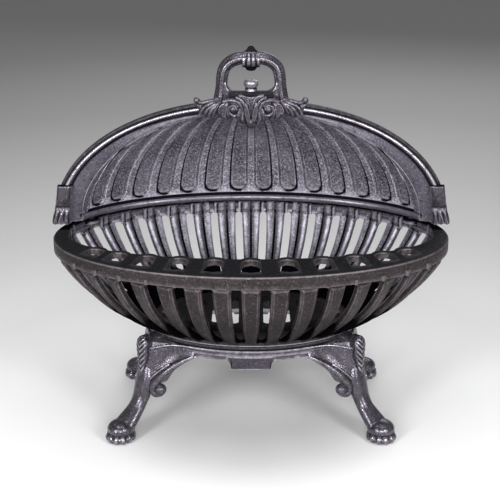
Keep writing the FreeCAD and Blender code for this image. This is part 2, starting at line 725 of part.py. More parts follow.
def crest_leaf():
    """Leaf crest on the front of the arch, with two volutes and a drop in the middle."""
    back = ARCH_FRONT - ARCH_BEAD
    heading = vec(0, -1, 0)
    line = ARCH_TOP - CREST_DROP / 3 + CREST_LIFT
    lobes = []
    for side in (-1, 1):
        for along, radius, lift in ((0.28, 0.2, 0.0), (0.52, 0.17, 0.02), (0.75, 0.13, 0.03),
                                    (0.92, 0.08, 0.08)):
            place = vec(side * CREST_HALF_WIDTH * along, back, line + CREST_HALF_WIDTH * lift)
            lobes.append(rod(CREST_HALF_WIDTH * radius, CREST_DEPTH, place, heading))
    drop = line - CREST_DROP * 0.5
    tip_radius = CREST_DROP * 0.22
    lobes.append(rod(tip_radius, CREST_DEPTH, vec(0, back, drop), heading))
    shoulder = tip_radius * 1.2
    lobes.append(block(-shoulder, shoulder, back - CREST_DEPTH, back, drop, ARCH_TOP + CREST_LIFT))
    return joined(lobes)


def build():
    """Write every node of the fire basket."""
    os.makedirs("parts", exist_ok=True)
    save("basket_rim", [basket_rim()])
    for name, bars in bar_groups().items():
        save(name, bars)
    save("basket_foot_ring", [basket_foot_ring()])
    save("bottom_grate", [bottom_grate()])
    save("stand_ring", [stand_ring()])
    bolts, nuts = basket_fixings()
    save("basket_bolts", bolts)
    save("basket_nuts", nuts)
    leg = front_right_leg()
    save("front_right_leg", [leg])
    save("front_left_leg", [mirrored(leg)])
    save("rear_right_leg", [behind(leg)])
    save("rear_left_leg", [behind(mirrored(leg))])
    apron = front_apron().cut([leg, mirrored(leg)])
    save("front_apron", [apron])
    save("rear_apron", [behind(apron)])
    side = right_apron().cut([leg, behind(leg)])
    save("right_apron", [side])
    save("left_apron", [mirrored(side)])
    save("hood_shell", [hood_shell()])
    save("locating_pegs", locating_pegs())
    save("arch_moulding", [arch_moulding()])
    save("right_ear", [right_ear()])
    save("left_ear", [mirrored(right_ear())])
    save("carry_handle", [carry_handle()])
    save("handle_button", [handle_button()])
    save("crest_leaf", [crest_leaf()])


build()
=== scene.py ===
"""Looks of an oval cast-iron fire basket with a lift-off hood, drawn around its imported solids."""

from __future__ import annotations

import logging
import math
from dataclasses import dataclass
from enum import Enum
from typing import Callable, Iterable, Sequence

import bmesh
import bpy
from mathutils import Matrix, Vector


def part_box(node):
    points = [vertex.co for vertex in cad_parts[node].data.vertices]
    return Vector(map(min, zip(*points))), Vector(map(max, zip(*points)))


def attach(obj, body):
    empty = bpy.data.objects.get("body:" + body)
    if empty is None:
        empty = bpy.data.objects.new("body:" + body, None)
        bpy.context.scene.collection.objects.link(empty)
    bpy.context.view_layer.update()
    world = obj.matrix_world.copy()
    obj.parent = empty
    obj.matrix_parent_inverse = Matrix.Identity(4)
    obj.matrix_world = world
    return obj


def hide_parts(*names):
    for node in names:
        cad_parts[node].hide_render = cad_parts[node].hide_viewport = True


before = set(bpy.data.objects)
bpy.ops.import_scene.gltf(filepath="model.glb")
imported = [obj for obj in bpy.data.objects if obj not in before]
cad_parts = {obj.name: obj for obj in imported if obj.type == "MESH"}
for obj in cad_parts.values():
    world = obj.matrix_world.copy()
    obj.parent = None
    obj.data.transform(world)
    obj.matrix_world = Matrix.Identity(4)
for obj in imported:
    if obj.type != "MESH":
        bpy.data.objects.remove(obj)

LOG = logging.getLogger("fire_basket")
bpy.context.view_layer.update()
MM = 0.001
UP = Vector((0.0, 0.0, 1.0))
FRONT = Vector((0.0, -1.0, 0.0))
LINE_STEPS = 48
Colour = tuple[float, float, float]
Row = Sequence[Vector]
Table = tuple[tuple[float, ...], ...]


class Body(Enum):
    """Bodies of the part that a piece can move with."""

    STAND = "stand"
    HOOD = "hood"
    GRATE = "grate"


class Slot(Enum):
    """Material slots of the part's record."""

    RIM = "rim_iron"
    BAR = "bar_iron"
    GRATE = "grate_iron"
    STAND = "stand_iron"
    HOOD = "hood_iron"
    FIXING = "fixing_steel"


def oval(a: float, b: float, turn: float, z: float = 0.0) -> Vector:
    """Give a point of an oval, with the turn in radians from the front towards the right."""
    return Vector((a * math.sin(turn), -b * math.cos(turn), z))


def oval_normal(a: float, b: float, turn: float) -> Vector:
    """Give the level direction that points straight out of an oval."""
    return Vector((math.sin(turn) / a, -math.cos(turn) / b, 0.0)).normalized()


def ease(low: float, high: float, value: float) -> float:
    """Rise smoothly from 0 at low to 1 at high."""
    share = min(max((value - low) / (high - low), 0.0), 1.0)
    return share * share * (3.0 - 2.0 * share)


def along(table: Sequence[tuple[float, ...]], place: float) -> list[float]:
    """Read a table smoothly between its rows.

    Args:
        table: Rows that start with a rising place, followed by the values there.
        place: Where to read.

    Returns:
        The values at that place.
    """
    if place <= table[0][0]:
        return list(table[0][1:])
    for index in range(len(table) - 1):
        low, high = table[index], table[index + 1]
        if place <= high[0]:
            before = table[max(index - 1, 0)]
            after = table[min(index + 2, len(table) - 1)]
            span = high[0] - low[0]
            share = (place - low[0]) / span
            values = []
            for column in range(1, len(low)):
                slope_low = (high[column] - before[column]) / max(high[0] - before[0], 1e-9)
                slope_high = (after[column] - low[column]) / max(after[0] - low[0], 1e-9)
                cube, square = share ** 3, share ** 2
                values.append((2 * cube - 3 * square + 1) * low[column]
                              + (cube - 2 * square + share) * span * slope_low
                              + (3 * square - 2 * cube) * high[column]
                              + (cube - square) * span * slope_high)
            return values
    return list(table[-1][1:])


def steps(low: float, high: float, count: int) -> list[float]:
    """Divide a span evenly, both ends included."""
    return [low + (high - low) * index / count for index in range(count + 1)]


def round_angles(count: int) -> list[float]:
    """Divide a full turn evenly, in radians."""
    return [2 * math.pi * index / count for index in range(count)]


def arc(share: float) -> float:
    """Give the height of a quarter round, from 1 at its crown to 0 at its end."""
    return math.sqrt(max(1.0 - share ** 2, 0.0))


class Graph:
    """Short hand for the nodes of one material."""

    def __init__(self, name: str) -> None:
        """Start a material with no nodes.

        Args:
            name: Name of the material.
        """
        self.material = bpy.data.materials.new(name)
        self.material.use_nodes = True
        self.tree = self.material.node_tree
        self.tree.nodes.clear()

    def add(self, kind: str, **inputs: object) -> bpy.types.Node:
        """Add a node.

        Args:
            kind: Blender's name of the node type.
            inputs: Values or output sockets for its inputs, with spaces written as underscores.

        Returns:
            The new node.
        """
        node = self.tree.nodes.new(kind)
        for key, value in inputs.items():
            self.feed(node.inputs[key.replace("_", " ")], value)
        return node

    def feed(self, socket: bpy.types.NodeSocket, value: object) -> None:
        """Give an input a value or link an output to it.

        Args:
            socket: The input.
            value: A value, or an output socket to link.
        """
        if isinstance(value, bpy.types.NodeSocket):
            self.tree.links.new(value, socket)
        else:
            socket.default_value = value

    def ranged(self, value: object, low: float, high: float, to_low: float, to_high: float) -> bpy.types.NodeSocket:
        """Map a value from one range to another and hold it there."""
        node = self.add("ShaderNodeMapRange", Value=value, From_Min=low, From_Max=high, To_Min=to_low, To_Max=to_high)
        return node.outputs["Result"]

    def times(self, left: object, right: object) -> bpy.types.NodeSocket:
        """Multiply two values.

        Args:
            left: A value or socket.
            right: Another one.

        Returns:
            The product's socket.
        """
        node = self.tree.nodes.new("ShaderNodeMath")
        node.operation = "MULTIPLY"
        self.feed(node.inputs[0], left)
        self.feed(node.inputs[1], right)
        return node.outputs[0]

    def blend(self, share: object, first: object, second: object) -> bpy.types.NodeSocket:
        """Mix two colours.

        Args:
            share: How much of the second colour, a value or socket.
            first: A colour or socket.
            second: Another one.

        Returns:
            The mixed colour's socket.
        """
        node = self.tree.nodes.new("ShaderNodeMix")
        node.data_type = "RGBA"
        self.feed(node.inputs["Factor"], share)
        self.feed(node.inputs[6], (*first, 1.0) if isinstance(first, tuple) else first)
        self.feed(node.inputs[7], (*second, 1.0) if isinstance(second, tuple) else second)
        return node.outputs[2]

    def noise(self, coords: object, scale: float, detail: float, roughness: float = 0.6) -> bpy.types.NodeSocket:
        """Add a noise pattern and give its value."""
        node = self.add("ShaderNodeTexNoise", Vector=coords, Scale=scale, Detail=detail, Roughness=roughness)
        return node.outputs["Fac"]

    def attribute(self, name: str) -> bpy.types.NodeSocket:
        """Read a value that is kept on the points of the piece.

        Args:
            name: Name of the value.

        Returns:
            Its socket.
        """
        node = self.tree.nodes.new("ShaderNodeAttribute")
        node.attribute_name = name
        return node.outputs["Fac"]

    def coords(self) -> bpy.types.NodeSocket:
        """Give the Object coordinates."""
        return self.tree.nodes.new("ShaderNodeTexCoord").outputs["Object"]

    def close(self, shader: bpy.types.Node) -> bpy.types.Material:
        """Link the shader to the output and give the finished material."""
        self.add("ShaderNodeOutputMaterial", Surface=shader.outputs["BSDF"])
        return self.material


@dataclass(frozen=True)
class CastIron:
    """Blackened cast iron: sand grain from the mould with painted glints, cloudy polish, rubbed edges, and sooty
    corners that also hold painted shade.
    """

    name: str
    dark: Colour
    light: Colour
    # The rubbed colour serves the rubbed edges and the painted glints.
    rubbed: Colour
    # Colour of soot, of the dark pits in the grain and of painted shade.
    soot_and_shade: Colour
    metallic: float
    rough_low: float
    rough_high: float
    grain_mm: float
    grain_depth_mm: float
    rubbing: float
    gloss: float = 0.5
    # Grain value from which the grain is painted with glints.
    painted_glint_from: float = 0.56

    def material(self) -> bpy.types.Material:
        """Build the material on Object coordinates.

        Returns:
            The new material.
        """
        graph = Graph(self.name)
        coords = graph.coords()
        cloud = graph.noise(coords, 34.0, 5.0)
        smear = graph.noise(coords, 140.0, 3.0)
        grain = graph.noise(coords, 1.0 / (self.grain_mm * MM), 3.0, 0.65)
        pits = graph.noise(coords, 0.45 / (self.grain_mm * MM), 2.0, 0.5)
        sunk = graph.attribute("sunk")
        patch = graph.blend(graph.ranged(cloud, 0.36, 0.64, 0.0, 0.6), self.dark, self.light)
        tone = graph.blend(graph.ranged(grain, 0.42, 0.58, 0.0, 0.7), patch, self.light)
        # Painted highlights: the brightest grains are painted as glints in the rubbed colour.
        painted_glint = graph.ranged(grain, self.painted_glint_from, self.painted_glint_from + 0.16, 0.0, 0.8)
        tone = graph.blend(graph.times(painted_glint, graph.ranged(smear, 0.35, 0.6, 0.3, 1.0)), tone, self.rubbed)
        tone = graph.blend(graph.ranged(pits, 0.42, 0.28, 0.0, 0.6), tone, self.soot_and_shade)
        # Painted shade on the floors of sunk panels.
        tone = graph.blend(graph.ranged(sunk, 0.2, 0.7, 0.0, 0.36), tone, self.soot_and_shade)
        edge = graph.times(graph.attribute("worn"), graph.ranged(smear, 0.3, 0.6, 0.35, 1.0))
        rubbed = graph.ranged(edge, 0.12, 0.7, 0.0, self.rubbing)
        tone = graph.blend(rubbed, tone, self.rubbed)
        # Painted shade in hollows and on places marked sooty or shaded: they go towards the dark colour and lose their
        # metal and gloss.
        soot_shade_share = graph.ranged(graph.attribute("soot_shade_mark"), 0.1, 0.8, 0.0, 1.0)
        tone = graph.blend(soot_shade_share, tone, self.soot_and_shade)
        rough = graph.ranged(grain, 0.35, 0.7, self.rough_high, self.rough_low)
        metal = graph.ranged(soot_shade_share, 0.1, 0.8, self.metallic, 0.0)
        gloss = graph.ranged(soot_shade_share, 0.1, 0.9, self.gloss, 0.0)
        bump = graph.add("ShaderNodeBump", Strength=graph.ranged(sunk, 0.0, 1.0, 0.55, 1.0),
                         Distance=self.grain_depth_mm * MM, Height=grain)
        shader = graph.add("ShaderNodeBsdfPrincipled", Base_Color=tone, Roughness=rough,
                           Normal=bump.outputs["Normal"], Metallic=metal, Specular_IOR_Level=gloss)
        return graph.close(shader)


class Finish(Enum):
    """Finishes of the castings, each with its own grain and wear; some are lit or shaded copies of the same iron, with
    light or shade painted into their colour.
    """

    HOOD = CastIron("hood_finish", dark=(0.088, 0.080, 0.108), light=(0.236, 0.218, 0.278),
                    rubbed=(0.72, 0.69, 0.78), soot_and_shade=(0.008, 0.007, 0.010), metallic=0.45, rough_low=0.34,
                    rough_high=0.60, grain_mm=1.9, grain_depth_mm=1.0, rubbing=0.95)
    # Iron of the sunk panels: more of its grain is painted with glints.
    PANEL = CastIron("panel_finish", dark=(0.056, 0.051, 0.069), light=(0.285, 0.264, 0.333),
                     rubbed=(0.84, 0.81, 0.90), soot_and_shade=(0.006, 0.005, 0.008), metallic=0.45, rough_low=0.32,
                     rough_high=0.60, grain_mm=2.1, grain_depth_mm=1.2, rubbing=0.34, gloss=0.5, painted_glint_from=0.515)
    BEAD = CastIron("bead_finish", dark=(0.110, 0.102, 0.128), light=(0.270, 0.252, 0.310),
                    rubbed=(0.78, 0.75, 0.83), soot_and_shade=(0.006, 0.005, 0.008), metallic=0.85, rough_low=0.20,
                    rough_high=0.36, grain_mm=1.9, grain_depth_mm=0.35, rubbing=0.8)
    GRIP = CastIron("grip_finish", dark=(0.044, 0.039, 0.050), light=(0.128, 0.115, 0.141),
                    rubbed=(0.60, 0.57, 0.64), soot_and_shade=(0.005, 0.004, 0.006), metallic=0.8, rough_low=0.17,
                    rough_high=0.34, grain_mm=1.8, grain_depth_mm=0.22, rubbing=0.75)
    # Near-black, for the arch's outer band and its back: painted shade on the band's upper face.
    BAND = CastIron("band_finish", dark=(0.012, 0.0105, 0.013), light=(0.034, 0.031, 0.037),
                    rubbed=(0.32, 0.30, 0.35), soot_and_shade=(0.006, 0.005, 0.007), metallic=0.6, rough_low=0.30,
                    rough_high=0.50, grain_mm=2.0, grain_depth_mm=0.3, rubbing=0.8)
    STAND = CastIron("stand_finish", dark=(0.027, 0.023, 0.031), light=(0.080, 0.071, 0.089),
                     rubbed=(0.46, 0.43, 0.49), soot_and_shade=(0.005, 0.004, 0.006), metallic=0.7, rough_low=0.20,
                     rough_high=0.40, grain_mm=1.8, grain_depth_mm=0.22, rubbing=0.68)
    # Near-black and dull, for the rim's flange: painted shade on its up-facing top, standing in for the dark that the
    # iron would mirror from above.
    RIM = CastIron("rim_finish", dark=(0.003, 0.003, 0.004), light=(0.007, 0.0066, 0.008),
                   rubbed=(0.04, 0.038, 0.042), soot_and_shade=(0.002, 0.002, 0.003), metallic=0.0, rough_low=0.5,
                   rough_high=0.72, grain_mm=2.0, grain_depth_mm=0.4, rubbing=0.8, gloss=0.16)
    # Dark brown iron, darkened further as painted shade on the outsides of the bars and band, under the rim.
    BAR = CastIron("bar_finish", dark=(0.0095, 0.0066, 0.0070), light=(0.027, 0.0205, 0.0215),
                   rubbed=(0.17, 0.142, 0.150), soot_and_shade=(0.002, 0.002, 0.002), metallic=0.4, rough_low=0.36,
                   rough_high=0.58, grain_mm=1.9, grain_depth_mm=0.3, rubbing=0.6, gloss=0.4)
    # A lit, brighter copy of the bar iron for faces that look into the basket: painted light.
    INNER = CastIron("lit_inner_finish", dark=(0.050, 0.047, 0.060), light=(0.138, 0.129, 0.157),
                     rubbed=(0.56, 0.53, 0.61), soot_and_shade=(0.002, 0.002, 0.003), metallic=0.6, rough_low=0.30,
                     rough_high=0.52, grain_mm=2.0, grain_depth_mm=0.9, rubbing=0.7)
    GRATE = CastIron("grate_finish", dark=(0.003, 0.003, 0.003), light=(0.008, 0.0075, 0.0075),
                     rubbed=(0.06, 0.056, 0.057), soot_and_shade=(0.002, 0.002, 0.002), metallic=0.0, rough_low=0.6,
                     rough_high=0.8, grain_mm=1.8, grain_depth_mm=0.35, rubbing=0.08, gloss=0.06)
    FIXING = CastIron("fixing_finish", dark=(0.10, 0.095, 0.095), light=(0.18, 0.17, 0.17),
                      rubbed=(0.45, 0.43, 0.43), soot_and_shade=(0.02, 0.018, 0.018), metallic=0.85, rough_low=0.3,
                      rough_high=0.5, grain_mm=1.2, grain_depth_mm=0.1, rubbing=0.6)

    def material(self) -> bpy.types.Material:
        """Give the finish's material, and build it the first time."""
        return bpy.data.materials.get(self.value.name) or self.value.material()


class Casting:
    """A piece while it is drawn, in millimetres, in the frame of the part."""

    def __init__(self) -> None:
        """Start with an empty mesh."""
        self.bm = bmesh.new()

    def take(self, part: bmesh.types.BMesh) -> None:
        """Join a shape that was drawn apart from the rest.

        Args:
            part: The shape, which is used up.
        """
        mesh = bpy.data.meshes.new("part")
        part.to_mesh(mesh)
        part.free()
        self.bm.from_mesh(mesh)
        bpy.data.meshes.remove(mesh)

    def skin(self, rows: Sequence[Row], closed: bool = False, marks: Sequence[Sequence[float]] = ()) -> None:
        """Extrude a closed outline from place to place.

        Args:
            rows: The outline at each place, with as many points each time.
            closed: Whether the last row meets the first, instead of both ends getting a face.
            marks: How far each point is sunk, for the grain of the finish and for painted shade on the sunk floors.
        """
        part = bmesh.new()
        sunk = part.verts.layers.float.new("sunk")
        row = [part.verts.new(point) for point in rows[0]]
        first = row
        edges = [part.edges.new(pair) for pair in zip(row, row[1:] + row[:1])]
        start = edges
        for index, points in enumerate(rows):
            if index:
                made = bmesh.ops.extrude_edge_only(part, edges=edges)["geom"]
                fresh = {item for item in made if isinstance(item, bmesh.types.BMVert)}
                row = [next(edge.other_vert(vert) for edge in vert.link_edges if edge.other_vert(vert) in fresh)
                       for vert in row]
                edges = [part.edges.get(pair) for pair in zip(row, row[1:] + row[:1])]
            for place, (vert, point) in enumerate(zip(row, points)):
                vert.co = point
                vert[sunk] = marks[index][place] if marks else 0.0
        if closed:
            bmesh.ops.remove_doubles(part, verts=first + row, dist=0.001)
        else:
            bmesh.ops.edgeloop_fill(part, edges=start)
            bmesh.ops.edgeloop_fill(part, edges=edges)
        self.take(part)

    def tube(self, points: Sequence[Vector], radii: Sequence[float], face: Vector = UP, sides: int = 14) -> None:
        """Skin a round tube along points, with round ends.

        Args:
            points: Middle of the tube from end to end.
            radii: Radius at each point.
            face: Direction that the tube's outline is set out from.
            sides: Points round the tube.
        """
        last = len(points) - 1
        places = []
        for index, (point, radius) in enumerate(zip(points, radii)):
            heading = (points[min(index + 1, last)] - points[max(index - 1, 0)]).normalized()
            places.append((point, radius, heading))
        rounds = [(-share, math.sqrt(1.0 - share * share)) for share in (0.98, 0.85, 0.55)]
        ends = [[(point + heading * (radius * shift * sign), radius * narrow, heading) for shift, narrow in rounds]
                for sign, (point, radius, heading) in ((1.0, places[0]), (-1.0, places[-1]))]
        rows = []
        angles = round_angles(sides)
        for point, radius, heading in ends[0] + places + ends[1][::-1]:
            level = heading.cross(face).normalized()
            thick = level.cross(heading).normalized()
            rows.append([point + (level * math.cos(angle) + thick * math.sin(angle)) * radius for angle in angles])
        self.skin(rows)

    def ball(self, centre: Vector, radii: Vector, rings: int = 16, turn: float = 0.0) -> None:
        """Add a ball stretched to three half sizes and turned about the upright.

        Args:
            centre: Its middle.
            radii: The half sizes.
            rings: Steps from pole to pole.
            turn: Turn in radians.
        """
        matrix = Matrix.Translation(centre) @ Matrix.Rotation(turn, 4, "Z") @ Matrix.Diagonal((*radii, 1.0))
        part = bmesh.new()
        bmesh.ops.create_uvsphere(part, u_segments=rings * 2, v_segments=rings, radius=1.0, matrix=matrix)
        self.take(part)

    def turned(self, profile: Sequence[tuple[float, float]], centre: Vector, count: int = 48) -> None:
        """Spin a profile about an upright line.

        Args:
            profile: Radius and height of its points, from the foot up.
            centre: Foot of the line.
            count: Steps round the line.
        """
        part = bmesh.new()
        verts = [part.verts.new(centre + Vector((radius, 0.0, height))) for radius, height in profile]
        edges = [part.edges.new(pair) for pair in zip(verts, verts[1:])]
        bmesh.ops.spin(part, geom=verts + edges, cent=centre, axis=UP, angle=2 * math.pi, steps=count, use_merge=True)
        bmesh.ops.remove_doubles(part, verts=part.verts, dist=0.02)
        self.take(part)

    def cut(self, place: Vector, out: Vector) -> None:
        """Cut away what lies on one side of a plane and close the cut.

        Args:
            place: A point of the plane.
            out: Direction of the side that goes.
        """
        geometry = self.bm.verts[:] + self.bm.edges[:] + self.bm.faces[:]
        made = bmesh.ops.bisect_plane(self.bm, geom=geometry, dist=0.0001, plane_co=place, plane_no=out,
                                      clear_outer=True)["geom_cut"]
        edges = [item for item in made if isinstance(item, bmesh.types.BMEdge)]
        bmesh.ops.holes_fill(self.bm, edges=edges, sides=0)

    def mirrored(self, axis: str) -> Casting:
        """Give a copy on the other side of a middle plane.

        Args:
            axis: X for left and right, Y for front and rear.

        Returns:
            The mirrored copy.
        """
        other = Casting()
        other.bm.free()
        other.bm = self.bm.copy()
        scale = Vector((-1.0, 1.0, 1.0)) if axis == "X" else Vector((1.0, -1.0, 1.0))
        bmesh.ops.scale(other.bm, vec=scale, verts=other.bm.verts)
        bmesh.ops.reverse_faces(other.bm, faces=other.bm.faces)
        return other

    def through(self, kind: str, **settings: object) -> None:
        """Run a modifier over the drawing and keep its result.

        Args:
            kind: Blender's name of the modifier type.
            settings: Its settings.
        """
        obj = self.scratch("shop")
        modifier = obj.modifiers.new(kind.lower(), kind)
        for key, value in settings.items():
            setattr(modifier, key, value)
        bpy.context.view_layer.update()
        shaped = obj.evaluated_get(bpy.context.evaluated_depsgraph_get())
        mesh = bpy.data.meshes.new_from_object(shaped)
        bpy.data.objects.remove(obj)
        self.bm = bmesh.new()
        self.bm.from_mesh(mesh)
        bpy.data.meshes.remove(mesh)

    def scratch(self, name: str) -> bpy.types.Object:
        """Turn the drawing into an object that is only used while shaping.

        Args:
            name: Name of the object.

        Returns:
            The object, which takes the drawing over.
        """
        mesh = bpy.data.meshes.new(name)
        bmesh.ops.recalc_face_normals(self.bm, faces=self.bm.faces)
        self.bm.to_mesh(mesh)
        self.bm.free()
        obj = bpy.data.objects.new(name, mesh)
        bpy.context.scene.collection.objects.link(obj)
        return obj

    def fuse(self, voxel: float, rounds: int) -> None:
        """Melt everything drawn so far into one skin and soften it.

        Args:
            voxel: Size of the grid in millimetres.
            rounds: Rounds of softening.
        """
        self.through("REMESH", mode="VOXEL", voxel_size=voxel)
        for _ in range(rounds):
            bmesh.ops.smooth_vert(self.bm, verts=self.bm.verts, factor=0.5, use_axis_x=True, use_axis_y=True,
                                  use_axis_z=True)

    def carve(self, tool: Casting) -> None:
        """Take another drawing away from this one.

        Args:
            tool: The drawing to take away, which is used up.
        """
        knife = tool.scratch("knife")
        self.through("BOOLEAN", operation="DIFFERENCE", object=knife, solver="EXACT")
        bpy.data.objects.remove(knife)

    def wear_and_shade(self, soot_and_shade: Callable[[Vector], float], corner_shade: float) -> None:
        """Mark on each point how far it stands out as an edge, and how much shade is painted on it where it lies in a
        hollow.

        Args:
            soot_and_shade: Gives how sooty a place is and how much shade is painted on it besides.
            corner_shade: How much shade is painted into the hollows, from 0 to 1.
        """
        self.bm.normal_update()
        worn = self.bm.verts.layers.float.new("worn")
        soot_shade_mark = self.bm.verts.layers.float.new("soot_shade_mark")
        for vert in self.bm.verts:
            total = 0.0
            for edge in vert.link_edges:
                total += edge.calc_face_angle_signed(0.0)
            bend = total / max(len(vert.link_edges), 1)
            black = soot_and_shade(vert.co)
            vert[worn] = min(max((bend - 0.05) * 5.0, 0.0), 1.0) * (1.0 - black)
            # Painted shade in hollows, or the soot and painted shade given for the place, whichever is more.
            vert[soot_shade_mark] = max(min(max((-bend - 0.05) * 5.0, 0.0), 1.0) * corner_shade, black)

    def piece(self, name: str, body: Body, slot: Slot, nodes: Iterable[str], finish: Finish, sharp: float = 38.0,
              soot_and_shade: Callable[[Vector], float] = lambda place: 0.0, corner_shade: float = 1.0) -> bpy.types.Object:
        """Finish the drawing as an object of the part.

        Args:
            name: Name of the piece.
            body: Body that it moves with.
            slot: Material slot that its finish belongs to; not used.
            nodes: Nodes of the part that it stands for.
            finish: Finish that it gets.
            sharp: Angle in degrees past which an edge is shaded as sharp.
            soot_and_shade: Gives how sooty a place is and how much shade is painted on it, from 0 to 1.
            corner_shade: How much shade is painted into the hollows, from 0 to 1.

        Returns:
            The finished object.
        """
        bmesh.ops.recalc_face_normals(self.bm, faces=self.bm.faces)
        self.wear_and_shade(soot_and_shade, corner_shade)
        bmesh.ops.scale(self.bm, vec=Vector((MM, MM, MM)), verts=self.bm.verts)
        mesh = bpy.data.meshes.new(name)
        self.bm.to_mesh(mesh)
        self.bm.free()
        mesh.shade_smooth()
        mesh.set_sharp_from_angle(angle=math.radians(sharp))
        mesh.materials.append(finish.material())
        obj = bpy.data.objects.new(name, mesh)
        bpy.context.scene.collection.objects.link(obj)
        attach(obj, body.value)
        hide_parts(*nodes)
        LOG.info("%s: %d faces on %s", name, len(mesh.polygons), body.value)
        return obj


def corner_mm(node: str) -> tuple[Vector, Vector]:
    """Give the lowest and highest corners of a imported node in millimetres."""
    low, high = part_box(node)
    return low / MM, high / MM


def paint(obj: bpy.types.Object, rule: Callable[[Vector, Vector], Finish | None]) -> None:
    """Give some faces of a piece another finish.

    Args:
        obj: The piece.
        rule: Gives the finish for a face by its middle in millimetres and its direction, or None to leave it.
    """
    places: dict[Finish, int] = {}
    for face in obj.data.polygons:
        finish = rule(face.center / MM, face.normal)
        if finish is None:
            continue
        if finish not in places:
            places[finish] = len(obj.data.materials)
            obj.data.materials.append(finish.material())
        face.material_index = places[finish]


def dress_node(node: str, finish: Finish) -> None:
    """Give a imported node, whose shape is kept, a finish.

    Args:
        node: Node of the part.
        finish: Finish that it gets.
    """
    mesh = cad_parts[node].data
    mesh.materials.clear()
    mesh.materials.append(finish.material())
    LOG.info("%s: packed solid kept", node)


